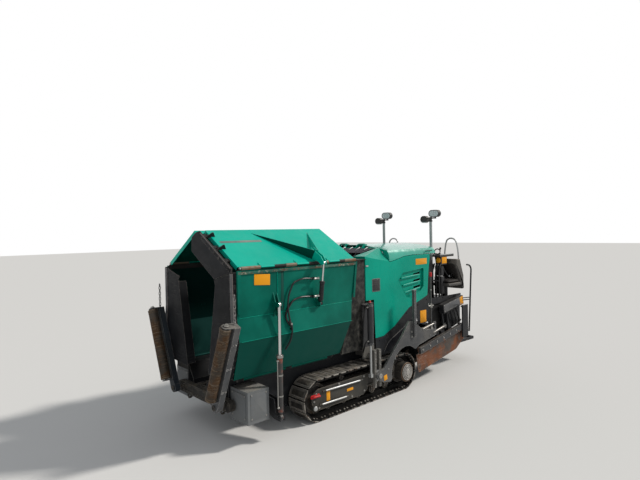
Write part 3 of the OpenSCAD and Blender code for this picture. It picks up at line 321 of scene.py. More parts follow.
finishStart = {
    "color": (0.1, 0.1, 0.1),
    "shade": 0.12,             # how far broad patches darken or fade the colour
    "roughness": 0.5,
    "metallic": 0.0,
    "edgeColor": (0.22, 0.20, 0.18),
    "edgeAmount": 0.0,
    "edgeRadius": 0.006,
    "dustColor": (0.40, 0.36, 0.30),
    "dustAmount": 0.1,
    "dustUp": 0.5,
    "dustScale": 3.0,
    "scratchColor": (0.35, 0.33, 0.31),
    "scratchAmount": 0.25,
    "scratchStretch": (3.0, 3.0, 60.0),
    "mudColor": (0.16, 0.125, 0.09),
    "mudAmount": 0.0,
    "mudHeight": 0.7,
    "rustColor": (0.17, 0.075, 0.03),
    "rustAmount": 0.0,
    "rustScale": 6.0,
    "bump": 0.05,
    "bumpScale": 160.0,
    "coat": 0.0,
    "gloss": 0.15,             # the specular level of the shader, and its tint
    "glossTint": (1.0, 1.0, 1.0),
    "under": None,             # painted shade: a darker colour where the face leans down
    "inside": None,            # (axis, colour): painted shade, a darker colour where the face looks to the middle or down
    "beyond": None,            # (axis, distance, colour): another colour farther out along the axis
    "loop": None,              # (middle, half run, height, radius) of a track, painted shade deep in its gaps
    "loopShadeColor": (0.007, 0.0065, 0.006),
}
finishes, slots = {}, {}


def makeFinish(name, slot, **changes):
    # paint or metal: broad shading, rust, scratches, painted shade where the face leans down, a colour farther out
    # along an axis, worn edges (on the teal paints and the flange also a painted highlight, on the hub's silver a
    # painted shade), dust and mud laid over the colour in that order, then painted shade on inner faces and deep in a
    # track's gaps
    f = dict(finishStart, **changes)
    mat = bpy.data.materials.new(name)
    mat.use_nodes = True
    tree = mat.node_tree
    tree.nodes.clear()
    place = addNode(tree, "ShaderNodeTexCoord").outputs["Object"]
    broad = noise(tree, place, 1.7, 5.0, 0.6)
    color = mixColor(tree, remap(tree, broad, 0.3, 0.7),
                     rgba([c * (1 - f["shade"]) for c in f["color"]]),
                     rgba([min(1, c * (1 + f["shade"]) + 0.01 * f["shade"]) for c in f["color"]]))
    smooth, dull = max(0.02, f["roughness"] - 0.07), f["roughness"] + 0.08
    rough = remap(tree, noise(tree, place, 9.0, 6.0, 0.6), 0.3, 0.7, smooth, dull)
    if f["rustAmount"] > 0:
        level = 0.72 - 0.5 * f["rustAmount"]
        rust = remap(tree, noise(tree, place, f["rustScale"], 9.0, 0.68), level, level + 0.14)
        dark, bright = (rgba([c * k for c in f["rustColor"]]) for k in (0.55, 1.6))
        color = mixColor(tree, rust, color, mixColor(tree, noise(tree, place, 38.0, 5.0, 0.7), dark, bright))
        rough = mathNode(tree, "ADD", rough, mathNode(tree, "MULTIPLY", rust, 0.3), True)
    if f["scratchAmount"] > 0:
        scratch = useGroup(tree, "scratches", Place=place, Stretch=f["scratchStretch"], Amount=f["scratchAmount"])
        color = mixColor(tree, scratch, color, rgba(f["scratchColor"]))
    # painted shade on faces that lean down
    if f["under"]:
        color = mixColor(tree, insideMask(tree, place, "Z"), color, rgba(f["under"]))
    if f["beyond"]:
        far = addNode(tree, "ShaderNodeSeparateXYZ")
        tree.links.new(place, far.inputs[0])
        reach = mathNode(tree, "ABSOLUTE", far.outputs[f["beyond"][0]])
        color = mixColor(tree, mathNode(tree, "GREATER_THAN", reach, f["beyond"][1]), color, rgba(f["beyond"][2]))
    # edges: wear, with a painted highlight on the teal paints and the flange and painted shade on the hub's silver
    if f["edgeAmount"] > 0:
        edge = useGroup(tree, "edgeWearAndPaintedLight", Place=place, Radius=f["edgeRadius"], Amount=f["edgeAmount"])
        color = mixColor(tree, edge, color, rgba(f["edgeColor"]))
    dust = useGroup(tree, "dust", Place=place, Amount=f["dustAmount"], Up=f["dustUp"], Scale=f["dustScale"])
    color = mixColor(tree, dust, color, rgba(f["dustColor"]))
    rough = mathNode(tree, "ADD", rough, mathNode(tree, "MULTIPLY", dust, 0.35), True)
    if f["mudAmount"] > 0:
        mud = useGroup(tree, "mud", Place=place, Height=f["mudHeight"], Amount=f["mudAmount"])
        color = mixColor(tree, mud, color, rgba(f["mudColor"]))
        rough = mathNode(tree, "ADD", rough, mathNode(tree, "MULTIPLY", mud, 0.5), True)
    # painted shade on faces that look to the middle or down
    if f["inside"]:
        color = mixColor(tree, insideMask(tree, place, f["inside"][0]), color, rgba(f["inside"][1]))
    # painted shade deep in a track's gaps
    if f["loop"]:
        color = mixColor(tree, loopShadeMask(tree, place, f["loop"]), rgba(f["loopShadeColor"]), color)
    bump = addNode(tree, "ShaderNodeBump", Strength=f["bump"], Distance=0.004)
    tree.links.new(noise(tree, place, f["bumpScale"], 6.0, 0.6), bump.inputs["Height"])
    shader = addNode(tree, "ShaderNodeBsdfPrincipled", Metallic=f["metallic"])
    shader.inputs["Specular IOR Level"].default_value = f["gloss"]
    shader.inputs["Specular Tint"].default_value = rgba(f["glossTint"])
    tree.links.new(color, shader.inputs["Base Color"])
    tree.links.new(rough, shader.inputs["Roughness"])
    tree.links.new(bump.outputs[0], shader.inputs["Normal"])
    if f["coat"] > 0:
        shader.inputs["Coat Weight"].default_value = f["coat"]
        shader.inputs["Coat Roughness"].default_value = 0.08
    outputNode(tree, "ShaderNodeOutputMaterial", shader.outputs[0])
    finishes[name], slots[name] = mat, slot


tealColor = (0.0, 0.300, 0.208)
# painted shade on the wings' faces inside the hopper
tealInsideShade = (0.003, 0.018, 0.016)
tealTint = (0.12, 0.85, 0.75)
# the hood's teal; its lighter edges are wear and a painted highlight
makeFinish("tealPaint", "teal_paint", color=tealColor, roughness=0.30, gloss=0.22, glossTint=tealTint,
           edgeColor=(0.06, 0.50, 0.38), edgeAmount=0.55, dustAmount=0.03, dustUp=0.08,
           dustColor=(0.10, 0.26, 0.20), scratchColor=(0.0, 0.18, 0.13), bump=0.015)
# the wings' teal, darker than the hood's; painted shade on faces that lean down and on the inner faces, and lighter
# edges of wear and a painted highlight
makeFinish("tealWingShaded", "teal_paint", color=(0.0, 0.112, 0.078), shade=0.3, roughness=0.42, gloss=0.25,
           glossTint=tealTint, inside=("X", tealInsideShade), under=(0.0, 0.046, 0.034),
           edgeColor=(0.05, 0.30, 0.22), edgeAmount=0.6, dustUp=0.12, dustColor=(0.018, 0.045, 0.034),
           dustScale=2.2, scratchAmount=0.5, scratchColor=(0.012, 0.05, 0.036), mudAmount=0.06,
           mudColor=(0.03, 0.04, 0.03), bump=0.03)
# the flaps' teal, a lighter copy: painted light on their sunlit tops and painted shade on their undersides, and
# lighter edges of wear and a painted highlight
makeFinish("tealFlapLit", "teal_paint", color=(0.0, 0.410, 0.300), shade=0.05, roughness=0.45, gloss=0.22,
           glossTint=tealTint, inside=("Z", (0.0, 0.052, 0.036)), edgeColor=(0.12, 0.60, 0.48), edgeAmount=0.4,
           dustAmount=0.02, dustUp=0.02, dustColor=(0.06, 0.38, 0.28), scratchAmount=0.2,
           scratchColor=(0.0, 0.28, 0.20), bump=0.02)
# the lid's teal, a lighter copy as a painted highlight, with a coat; its pale edges are wear and a painted highlight
makeFinish("tealLidSheen", "teal_paint", color=(0.0, 0.330, 0.235), roughness=0.22, gloss=0.5,
           edgeColor=(0.35, 0.62, 0.54), edgeAmount=0.3, dustAmount=0.03, dustUp=0.06, dustColor=(0.25, 0.45, 0.38),
           scratchAmount=0.12, scratchColor=(0.05, 0.25, 0.2), bump=0.008, coat=0.5)
# a much lighter teal for the slats' lips: a painted highlight
makeFinish("slatHighlight", "teal_paint", color=(0.06, 0.52, 0.40), roughness=0.3, gloss=0.4, dustAmount=0.02,
           bump=0.01)
makeFinish("railWear", "teal_paint", color=(0.006, 0.105, 0.075), shade=0.3, gloss=0.3,
           edgeColor=(0.40, 0.36, 0.28), edgeAmount=0.6, rustAmount=0.52, rustColor=(0.085, 0.050, 0.030),
           rustScale=9.0, scratchAmount=0.8, scratchColor=(0.30, 0.27, 0.20), scratchStretch=(60.0, 4.0, 60.0))
makeFinish("darkPaint", "dark_paint", color=(0.016, 0.0175, 0.0205), roughness=0.42, edgeAmount=0.6,
           edgeColor=(0.15, 0.145, 0.14), dustUp=0.3, dustColor=(0.11, 0.10, 0.085), mudAmount=0.15)
# a darker, bluish copy of the arm paint for the far push arm: painted shade, with dust and mud
makeFinish("farArmShade", "dark_paint", color=(0.020, 0.027, 0.034), shade=0.3, roughness=0.42, edgeAmount=0.9,
           edgeColor=(0.30, 0.29, 0.28), dustUp=0.3, dustColor=(0.10, 0.09, 0.075), scratchAmount=0.5,
           scratchColor=(0.16, 0.16, 0.16), mudAmount=0.3)
makeFinish("midPaint", "grey_paint", color=(0.066, 0.072, 0.080), shade=0.3, roughness=0.34, gloss=0.4,
           edgeAmount=0.8, edgeColor=(0.34, 0.32, 0.30), dustAmount=0.12, dustUp=0.35, mudAmount=0.2,
           rustAmount=0.12)
makeFinish("grillePaint", "dark_paint", color=(0.052, 0.046, 0.060), edgeAmount=0.3, edgeColor=(0.20, 0.19, 0.20),
           dustUp=0.1, dustColor=(0.10, 0.09, 0.085))
makeFinish("coverPaint", "grey_paint", color=(0.036, 0.035, 0.032), shade=0.3, roughness=0.45, edgeAmount=0.9,
           edgeColor=(0.30, 0.27, 0.23), dustAmount=0.30, dustUp=0.35, dustColor=(0.125, 0.108, 0.080),
           dustScale=6.0, scratchAmount=0.6, scratchColor=(0.20, 0.19, 0.17), mudAmount=0.35,
           mudColor=(0.105, 0.085, 0.060), mudHeight=0.40, rustAmount=0.15)
makeFinish("guidePaint", "dark_paint", color=(0.125, 0.120, 0.110), beyond=("Z", 0.63, (0.022, 0.0235, 0.027)),
           shade=0.3, roughness=0.35, gloss=0.3, edgeAmount=0.9, edgeColor=(0.26, 0.25, 0.24), dustUp=0.3,
           mudAmount=0.2, rustAmount=0.15)
makeFinish("beamCrust", "apron_steel", color=(0.016, 0.015, 0.014), shade=0.4, roughness=0.6, edgeAmount=0.9,
           edgeColor=(0.22, 0.20, 0.175), dustAmount=0.5, dustUp=0.35, dustColor=(0.13, 0.115, 0.09),
           dustScale=14.0, scratchAmount=0.5, mudAmount=0.5, mudColor=(0.085, 0.072, 0.056), mudHeight=0.6,
           bump=0.9, bumpScale=55)
makeFinish("boxPaint", "grey_paint", color=(0.135, 0.145, 0.152), roughness=0.42, edgeAmount=0.55,
           edgeColor=(0.16, 0.10, 0.07), dustAmount=0.12, mudAmount=0.25, mudHeight=0.5, rustAmount=0.1)
makeFinish("armPaint", "grey_paint", color=(0.080, 0.083, 0.088), shade=0.25, roughness=0.38, edgeAmount=0.8,
           edgeColor=(0.45, 0.44, 0.43), dustAmount=0.18, scratchAmount=0.5, mudAmount=0.25)
makeFinish("apronSteel", "apron_steel", color=(0.0085, 0.0095, 0.0115), shade=0.3, roughness=0.55, gloss=0.10,
           edgeAmount=0.85, edgeColor=(0.20, 0.185, 0.17), dustAmount=0.08, dustUp=0.3,
           dustColor=(0.060, 0.052, 0.044), scratchAmount=0.5, scratchColor=(0.15, 0.145, 0.14), mudAmount=0.15,
           rustAmount=0.1)
makeFinish("rubber", "rubber", color=(0.014, 0.014, 0.0145), roughness=0.62, edgeAmount=0.15, dustAmount=0.25,
           dustColor=(0.13, 0.12, 0.10), scratchAmount=0.1, mudAmount=0.1, bump=0.12, bumpScale=60)
makeFinish("rustySteel", "rusty_steel", color=(0.045, 0.036, 0.028), shade=0.4, metallic=0.3, edgeAmount=0.7,
           edgeColor=(0.26, 0.22, 0.18), rustAmount=0.50, rustColor=(0.070, 0.036, 0.016), scratchAmount=1.0,
           scratchColor=(0.34, 0.27, 0.20), scratchStretch=(5.0, 5.0, 80.0), dustAmount=0.05, dustUp=0.2,
           mudAmount=0.05, bump=0.2, bumpScale=70)
makeFinish("endPlate", "rusty_steel", color=(0.060, 0.052, 0.046), shade=0.5, roughness=0.42, metallic=0.35,
           beyond=("X", 0.7024, (0.060, 0.062, 0.066)), edgeAmount=0.9, edgeColor=(0.38, 0.35, 0.32),
           rustAmount=0.56, rustColor=(0.165, 0.062, 0.030), rustScale=3.2, scratchAmount=1.0,
           scratchColor=(0.34, 0.30, 0.27), scratchStretch=(20.0, 1.4, 22.0), dustAmount=0.08, dustUp=0.3,
           mudAmount=0.75, mudColor=(0.32, 0.135, 0.070), mudHeight=0.33, bump=0.15, bumpScale=70)
# the track's shoes; the loop paints shade deep in the gaps between them
makeFinish("shoeSteel", "track_steel", color=(0.085, 0.080, 0.074), shade=0.6, roughness=0.55, metallic=0.2,
           loop=(-0.359, 0.715, 0.225, 0.225), edgeAmount=1.0, edgeColor=(0.42, 0.39, 0.35), edgeRadius=0.010,
           rustAmount=0.40, rustColor=(0.060, 0.036, 0.022), rustScale=11.0, dustAmount=0.45, dustUp=0.6,
           dustColor=(0.26, 0.235, 0.20), dustScale=11.0, scratchAmount=0.7, scratchColor=(0.38, 0.35, 0.31),
           mudAmount=0.35, mudColor=(0.030, 0.024, 0.018), mudHeight=0.45, bump=0.5, bumpScale=45)
makeFinish("trackSteel", "track_steel", color=(0.038, 0.035, 0.032), shade=0.4, roughness=0.55, metallic=0.3,
           gloss=0.35, edgeAmount=1.0, edgeColor=(0.30, 0.28, 0.25), edgeRadius=0.008, rustAmount=0.38,
           rustColor=(0.060, 0.036, 0.022), rustScale=11.0, dustAmount=0.32, dustUp=0.35,
           dustColor=(0.14, 0.125, 0.10), dustScale=9.0, scratchAmount=0.7, scratchColor=(0.28, 0.26, 0.23),
           mudAmount=0.5, mudColor=(0.060, 0.047, 0.034), mudHeight=0.6, bump=0.5, bumpScale=45)
makeFinish("castIron", "apron_steel", color=(0.10, 0.10, 0.105), roughness=0.6, metallic=0.3, rustAmount=0.2,
           edgeAmount=0.5, dustAmount=0.18, mudAmount=0.3)
makeFinish("silverPaint", "grey_paint", color=(0.42, 0.43, 0.43), roughness=0.35, metallic=0.5, edgeAmount=0.3,
           edgeColor=(0.2, 0.19, 0.18), dustAmount=0.15, dustColor=(0.3, 0.28, 0.25), mudAmount=0.1)
makeFinish("darkPlastic", "dark_plastic", color=(0.032, 0.033, 0.035), roughness=0.55, edgeAmount=0.15,
           dustAmount=0.25, dustColor=(0.15, 0.14, 0.125), bump=0.1)
makeFinish("seatCover", "seat_cover", color=(0.020, 0.018, 0.0175), roughness=0.6, dustAmount=0.12, dustUp=0.2,
           dustColor=(0.10, 0.088, 0.075), scratchAmount=0.1, bump=0.18, bumpScale=240)
makeFinish("seatShell", "dark_plastic", color=(0.062, 0.060, 0.058), edgeAmount=0.1, dustAmount=0.2)
makeFinish("chrome", "chromed_rod", color=(0.62, 0.62, 0.62), roughness=0.14, metallic=1.0, shade=0.03, dustUp=0.1,
           scratchAmount=0.1, bump=0.0)
makeFinish("greaseSteel", "chromed_rod", color=(0.16, 0.155, 0.15), roughness=0.35, metallic=0.8, edgeAmount=0.3,
           dustAmount=0.2, mudAmount=0.1)
makeFinish("barrelPaint", "dark_paint", color=(0.040, 0.039, 0.040), roughness=0.42, gloss=0.35, edgeAmount=0.6,
           edgeColor=(0.3, 0.28, 0.26), rustAmount=0.50, rustColor=(0.20, 0.048, 0.026), rustScale=5.0,
           scratchAmount=0.6, mudAmount=0.2, mudHeight=0.5)
# near black with dust and mud, on the shoes' pockets and in the hub's grooves: painted shade with dirt
makeFinish("pocketShadeAndDirt", "track_steel", color=(0.012, 0.011, 0.0105), shade=0.5, roughness=0.7, dustAmount=0.25,
           dustUp=0.75, dustColor=(0.15, 0.135, 0.11), dustScale=12.0, scratchAmount=0.4,
           scratchColor=(0.10, 0.09, 0.08), mudAmount=0.3, mudColor=(0.022, 0.017, 0.013), mudHeight=0.4, bump=0.8,
           bumpScale=60)
makeFinish("wornSteel", "track_steel", color=(0.26, 0.245, 0.22), shade=0.6, roughness=0.45, metallic=0.4,
           edgeAmount=0.3, rustAmount=0.50, rustColor=(0.07, 0.035, 0.02), rustScale=17.0, dustAmount=0.2,
           dustUp=0.2, dustColor=(0.10, 0.085, 0.07), mudAmount=0.3, mudColor=(0.030, 0.024, 0.018), mudHeight=0.25)
makeFinish("rollerScore", "rusty_steel", color=(0.13, 0.095, 0.062), shade=0.5, metallic=0.3, rustAmount=0.55,
           rustColor=(0.045, 0.026, 0.014), rustScale=14.0, scratchAmount=0.5, dustAmount=0.05)
makeFinish("hubBronze", "track_steel", color=(0.115, 0.070, 0.042), shade=0.4, roughness=0.45, metallic=0.4,
           edgeAmount=0.6, edgeColor=(0.40, 0.34, 0.28), dustAmount=0.05, dustUp=0.1)
# the hub's silver; its dark edges are painted shade along the steps
makeFinish("hubSilver", "track_steel", color=(0.42, 0.41, 0.39), shade=0.3, roughness=0.35, metallic=0.6,
           edgeAmount=0.9, edgeColor=(0.12, 0.10, 0.09), edgeRadius=0.004, dustAmount=0.08, dustUp=0.1,
           scratchAmount=0.4)
makeFinish("mastPaint", "grey_paint", color=(0.36, 0.39, 0.39), roughness=0.4, gloss=0.3,
           beyond=("Z", 2.098, (0.014, 0.015, 0.016)), edgeAmount=0.2)
makeFinish("hingeWear", "teal_paint", color=(0.15, 0.115, 0.080), metallic=0.2, edgeAmount=0.4, rustAmount=0.42,
           scratchAmount=0.7, scratchColor=(0.45, 0.42, 0.37), scratchStretch=(60.0, 3.0, 60.0))
# dark teal for the shaded side of the wing's groove: painted shadow
makeFinish("tealPaintedShade", "teal_paint", color=(0.0, 0.055, 0.042), gloss=0.2, dustAmount=0.08,
           dustColor=(0.03, 0.05, 0.04), scratchAmount=0.3, scratchColor=(0.01, 0.12, 0.09))
makeFinish("signOrange", "grey_paint", color=(0.80, 0.33, 0.012), shade=0.05, roughness=0.36,
           edgeColor=(0.12, 0.09, 0.06), edgeAmount=0.35, edgeRadius=0.002, dustAmount=0.12, dustUp=0.2,
           dustColor=(0.45, 0.33, 0.2), scratchAmount=0.15, bump=0.01)
makeFinish("redPaint", "grey_paint", color=(0.56, 0.014, 0.020), roughness=0.36, edgeAmount=0.3, dustAmount=0.12,
           bump=0.02)
makeFinish("stripeGrey", "grey_paint", color=(0.10, 0.155, 0.15), scratchAmount=0.3, bump=0.02)
makeFinish("zincSteel", "chromed_rod", color=(0.34, 0.335, 0.32), roughness=0.34, metallic=0.85, edgeAmount=0.3,
           edgeRadius=0.002, dustAmount=0.2, dustColor=(0.22, 0.19, 0.15), rustAmount=0.12, mudAmount=0.1)
# its pinkish edges are wear and a painted highlight
makeFinish("flangeSteel", "apron_steel", color=(0.075, 0.080, 0.088), shade=0.3, roughness=0.42, metallic=0.2,
           edgeAmount=1.0, edgeColor=(0.42, 0.33, 0.30), rustAmount=0.2, scratchAmount=0.4, dustAmount=0.15,
           mudAmount=0.1)
makeFinish("hoseRubber", "rubber", color=(0.007, 0.007, 0.008), roughness=0.40, gloss=0.3, dustAmount=0.08,
           dustUp=0.2, dustColor=(0.07, 0.064, 0.055), scratchAmount=0.05, mudAmount=0.05, bump=0.1, bumpScale=300)
# near black, standing for the depth of holes and recesses: painted shade
makeFinish("recessShade", "dark_paint", color=(0.006, 0.007, 0.011), roughness=0.6, dustColor=(0.05, 0.05, 0.055),
           scratchAmount=0.0)
makeFinish("lampGlass", "dark_plastic", color=(0.62, 0.66, 0.68), shade=0.04, roughness=0.08, dustAmount=0.08,
           dustUp=0.1, scratchAmount=0.0, bump=0.0, coat=0.6)
makeFinish("curtain", "rubber", color=(0.011, 0.0115, 0.012), shade=0.5, roughness=0.7, edgeAmount=0.2,
           dustAmount=0.75, dustUp=0.3, dustColor=(0.125, 0.120, 0.104), dustScale=13.0, scratchAmount=1.0,
           scratchColor=(0.11, 0.105, 0.09), scratchStretch=(24.0, 24.0, 24.0), mudAmount=0.1, bump=1.0,
           bumpScale=32.0)
print("finishes:", len(finishes))


def dress(piece, finish):
    # the finish as the piece's only material
    piece.data.materials.clear()
    piece.data.materials.append(finishes[finish])


nodesOf = {
    "darkPaint": "main_frame side_frames deck_beams radiator_grille lower_panels platform rear_step "
                 "auger_drive flap_cylinder_left flap_cylinder_right screed side_box_left side_box_right "
                 "extension_left extension_right",
    "beamCrust": "front_beam",
    "apronSteel": "hopper_floor apron_left apron_right flap_apron_left",
    "trackSteel": "conveyor track_frames",
    "shoeSteel": "track_left track_right",
    "coverPaint": "track_covers",
    "boxPaint": "front_boxes",
    "curtain": "rear_shield",
    "tealPaint": "hood",
    "tealLidSheen": "hood_lid",
    "castIron": "engine_block",
    "darkPlastic": "console",
    "seatShell": "seat_left seat_right",
    "guidePaint": "tow_guides",
    "tealWingShaded": "wing_left wing_right",
    "hoseRubber": "wing_hoses_left wing_hoses_right",
    "tealFlapLit": "flap_left flap_right",
    "barrelPaint": "wing_cylinder_left wing_cylinder_right",
    "chrome": "wing_rod_left wing_rod_right flap_rod_left flap_rod_right lift_rods",
    "armPaint": "push_arm_left tow_arms",
    "farArmShade": "push_arm_right",
    "rustySteel": "push_roller_left push_roller_right auger",
    "silverPaint": "tow_sliders",
    "endPlate": "end_plate_left end_plate_right",
    "mastPaint": "light_mast_left light_mast_right",
    "midPaint": "lift_cylinders",
}
for nodeFinish, names in nodesOf.items():
    for nodeName in names.split():
        dress(nodes[nodeName], nodeFinish)


# surfaces: each is worked out as whole arrays, in x, s and z, and comes back as its points and blocks of faces

alongX, alongS, alongZ, forward = (1, 0, 0), (0, 1, 0), (0, 0, 1), (0, -1, 0)


def unit(v):
    # v over its length, for each row
    v = np.asarray(v, dtype=float)
    return v / np.linalg.norm(v, axis=-1, keepdims=True)


def closedRings(points):
    # rows of points, each row a closed ring: quads between the rows, and one face over each end ring
    rows, cols = points.shape[:2]
    i = np.arange(rows - 1)[:, None] * cols
    j = np.arange(cols)[None, :]
    k = (j + 1) % cols
    quads = np.stack([i + j, i + k, i + cols + k, i + cols + j], axis=-1).reshape(-1, 4)
    ends = np.stack([np.arange(cols)[::-1], (rows - 1) * cols + np.arange(cols)])
    return points.reshape(-1, 3), [quads, ends]


def joined(*shapes):
    # several shapes as one, their faces counted on from each other's points
    points, faces, start = [], [], 0
    for shapePoints, shapeFaces in shapes:
        points.append(shapePoints)
        faces += [block + start for block in shapeFaces]
        start += len(shapePoints)
    return np.concatenate(points), faces


def copied(points, faces):
    # the same faces over each block of points, in the order of the blocks
    starts = np.arange(len(points))[:, None, None] * points.shape[1]
    return points.reshape(-1, 3), [(f[None] + starts).reshape(-1, f.shape[1]) for f in faces]


def repeated(shape, places):
    # the shape once at each place
    return copied(shape[0][None] + np.asarray(places, dtype=float)[:, None], shape[1])


def mirrored(shape):
    # the mirror image in the middle plane, its faces turned round to stay outward
    return shape[0] * [-1, 1, 1], [f[:, ::-1] for f in shape[1]]


def bothSides(shape):
    # the near form and its mirror image as one shape
    return joined(shape, mirrored(shape))


eachSide = (("Left", lambda shape: shape), ("Right", mirrored))


def carried(shape, origin, a, b):
    # a shape drawn along a, b and their normal: origin + a x + b y + (a x b) z
    a, b = unit(a), unit(b)
    return np.asarray(origin, dtype=float) + shape[0] @ np.stack([a, b, np.cross(a, b)]), shape[1]


def onSide(shape, x):
    # drawn in s and z, standing out from the plane x
    return carried(shape, (x, 0, 0), alongS, alongZ)


def onFront(shape, s):
    # drawn in x and z, standing forward from the plane s
    return carried(shape, (0, s, 0), alongX, alongZ)


def onTop(shape, z):
    # drawn in x and s, standing up from the plane z
    return carried(shape, (0, 0, z), alongX, alongS)


def frameAlong(along):
    # two directions square to each tangent, from the axis that the path follows least
    ref = np.eye(3)[np.argmin(np.abs(along).max(axis=0))]
    n = unit(np.cross(along, ref))
    return n, np.cross(along, n)


def tube(path, radius, sides=10):
    # a circle carried along the path: centre + radius (cos t n + sin t b)
    path = np.asarray(path, dtype=float)
    radius = np.broadcast_to(radius, (len(path),))
    n, b = frameAlong(unit(np.gradient(path, axis=0)))
    t = np.linspace(0, 2 * np.pi, sides, endpoint=False)
    around = np.cos(t)[None, :, None] * n[:, None] + np.sin(t)[None, :, None] * b[:, None]
    return closedRings(path[:, None] + radius[:, None, None] * around)


def turned(profile, center, axis, sides=24):
    # a profile of radius and height, turned about the axis through center
    profile = np.asarray(profile, dtype=float)
    axis = unit(axis)
    n, b = frameAlong(axis[None])
    t = np.linspace(0, 2 * np.pi, sides, endpoint=False)[:, None]
    around = np.cos(t) * n + np.sin(t) * b
    radius, height = profile[:, 0, None, None], profile[:, 1, None, None]
    return closedRings(np.asarray(center, dtype=float) + radius * around[None] + height * axis)


def drum(inner, outer, start, end):
    # the profile of a plain ring between two heights
    return [(inner, start), (outer, start), (outer, end), (inner, end)]


def ring(center, axis, radius, thick, sides=28, section=8):
    # a torus: center + (radius + thick cos v)(cos u n + sin u b) + thick sin v axis
    axis = unit(axis)
    n, b = frameAlong(axis[None])
    u = np.linspace(0, 2 * np.pi, sides, endpoint=False)[:, None]
    v = np.linspace(0, 2 * np.pi, section, endpoint=False)
    out = np.cos(u) * n + np.sin(u) * b
    reach, lift = (radius + thick * np.cos(v))[None, :, None], (thick * np.sin(v))[None, :, None]
    points = np.asarray(center) + reach * out[:, None] + lift * axis
    i = np.arange(sides)[:, None]
    j = np.arange(section)[None]
    quads = np.stack([i * section + j, i * section + (j + 1) % section, (i + 1) % sides * section + (j + 1) % section,
                      (i + 1) % sides * section + j], axis=-1).reshape(-1, 4)
    return points.reshape(-1, 3), [quads]


def slab(outline, thick, edge=0.001, steps=2):
    # an outline raised to a thickness, its rims rounded by a quarter circle; the inset follows the corners' mitres
    outline = np.asarray(outline, dtype=float)
    side = unit(np.roll(outline, -1, axis=0) - outline)
    normal = np.stack([-side[:, 1], side[:, 0]], axis=1)
    area = np.sum(outline[:, 0] * np.roll(outline[:, 1], -1) - np.roll(outline[:, 0], -1) * outline[:, 1])
    normal *= 1 if area > 0 else -1
    before = np.roll(normal, 1, axis=0)
    mitre = (normal + before) / (1 + np.sum(normal * before, axis=1, keepdims=True))
    t = np.linspace(0, np.pi / 2, steps + 1)
    inset = edge * np.concatenate([1 - np.sin(t), 1 - np.sin(t[::-1])])
    height = np.concatenate([edge * (1 - np.cos(t)), thick - edge * (1 - np.cos(t[::-1]))])
    flat = outline[None] + inset[:, None, None] * mitre[None]
    return closedRings(np.concatenate([flat, np.broadcast_to(height[:, None, None], flat.shape[:2] + (1,))], axis=2))


def rounded(a0, a1, b0, b1, r, steps=4):
    # a rectangle with round corners: corner centre + r (cos t, sin t)
    t = np.linspace(0, np.pi / 2, steps + 1)
    t = (t[None] + np.arange(4)[:, None] * np.pi / 2).ravel()
    a = np.repeat([a1 - r, a0 + r, a0 + r, a1 - r], steps + 1)
    b = np.repeat([b1 - r, b1 - r, b0 + r, b0 + r], steps + 1)
    return np.stack([a + r * np.cos(t), b + r * np.sin(t)], axis=1)


def rectangle(a0, a1, b0, b1):
    # the four corners, counterclockwise
    return np.array([(a0, b0), (a1, b0), (a1, b1), (a0, b1)])


def plate(a0, a1, b0, b1, r, thick, edge):
    # a slab with round corners
    return slab(rounded(a0, a1, b0, b1, r), thick, edge)


def curveThrough(points, steps=8):
    # Catmull-Rom: a cubic over each span, whose slope at a point is half the step between its neighbours
    p = np.asarray(points, dtype=float)
    p = np.vstack([2 * p[0] - p[1], p, 2 * p[-1] - p[-2]])
    t = np.linspace(0, 1, steps, endpoint=False)[None, :, None]
    a, b, c, d = (p[k:len(p) - 3 + k, None] for k in range(4))
    spans = 0.5 * (2 * b + (c - a) * t + (2 * a - 5 * b + 4 * c - d) * t ** 2 + (3 * b - 3 * c + d - a) * t ** 3)
    return np.vstack([spans.reshape(-1, 3), p[-2:-1]])


def pipe(points, radius, sides=10, steps=6):
    # a tube along a smooth curve through the points
    return tube(curveThrough(points, steps), radius, sides)


def bolts(axis, size, places):
    # a washer and a chamfered six-sided head, standing along the axis at each place
    washer = [(0.3, 0), (1.3, 0), (1.35, 0.1), (1.25, 0.2), (0.3, 0.2)]
    head = [(0.3, 0.18), (1.0, 0.18), (1.0, 0.72), (0.86, 0.88), (0.3, 0.92)]
    return repeated(joined(*[turned(np.array(profile) * size, (0, 0, 0), axis, sides)
                             for profile, sides in ((washer, 14), (head, 6))]), places)


def sideBolts(size, x, places):
    # bolts on the machine's side, at rows of s and z
    return bolts(alongX, size, [(x, s, z) for s, z in places])


def grid(firsts, seconds):
    # every pair of a first and a second value
    return [(a, b) for a in firsts for b in seconds]


row = np.linspace  # evenly spaced values, both ends included


def makePiece(name, shape, finish, body="chassis", sharp=32):
    # the shape as a mesh in the frame, its faces outward, dressed, riding on its body
    points, faces = shape
    mesh = bpy.data.meshes.new(name)
    mesh.from_pydata((points + [0, frontY, 0]).tolist(), [], [face for block in faces for face in block.tolist()])
    form = bmesh.new()
    form.from_mesh(mesh)
    bmesh.ops.recalc_face_normals(form, faces=form.faces)
    form.to_mesh(mesh)
    form.free()
    mesh.polygons.foreach_set("use_smooth", np.ones(len(mesh.polygons), dtype=bool))
    mesh.set_sharp_from_angle(angle=math.radians(sharp))
    piece = bpy.data.objects.new(name, mesh)
    scene.collection.objects.link(piece)
    dress(piece, finish)
    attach(piece, body)
    return piece


def makeBoth(name, shape, finish, body="chassis"):
    # one piece of the near form and its mirror image
    makePiece(name, bothSides(shape), finish, body)


def makePair(name, shape, finish, body):
    # the near piece on the left body and its mirror image on the right one
    makePiece(name + "Left", shape, finish, body + "_left")
    makePiece(name + "Right", mirrored(shape), finish, body + "_right")


# hopper: hinges, aprons, sign plates, welds and grooves

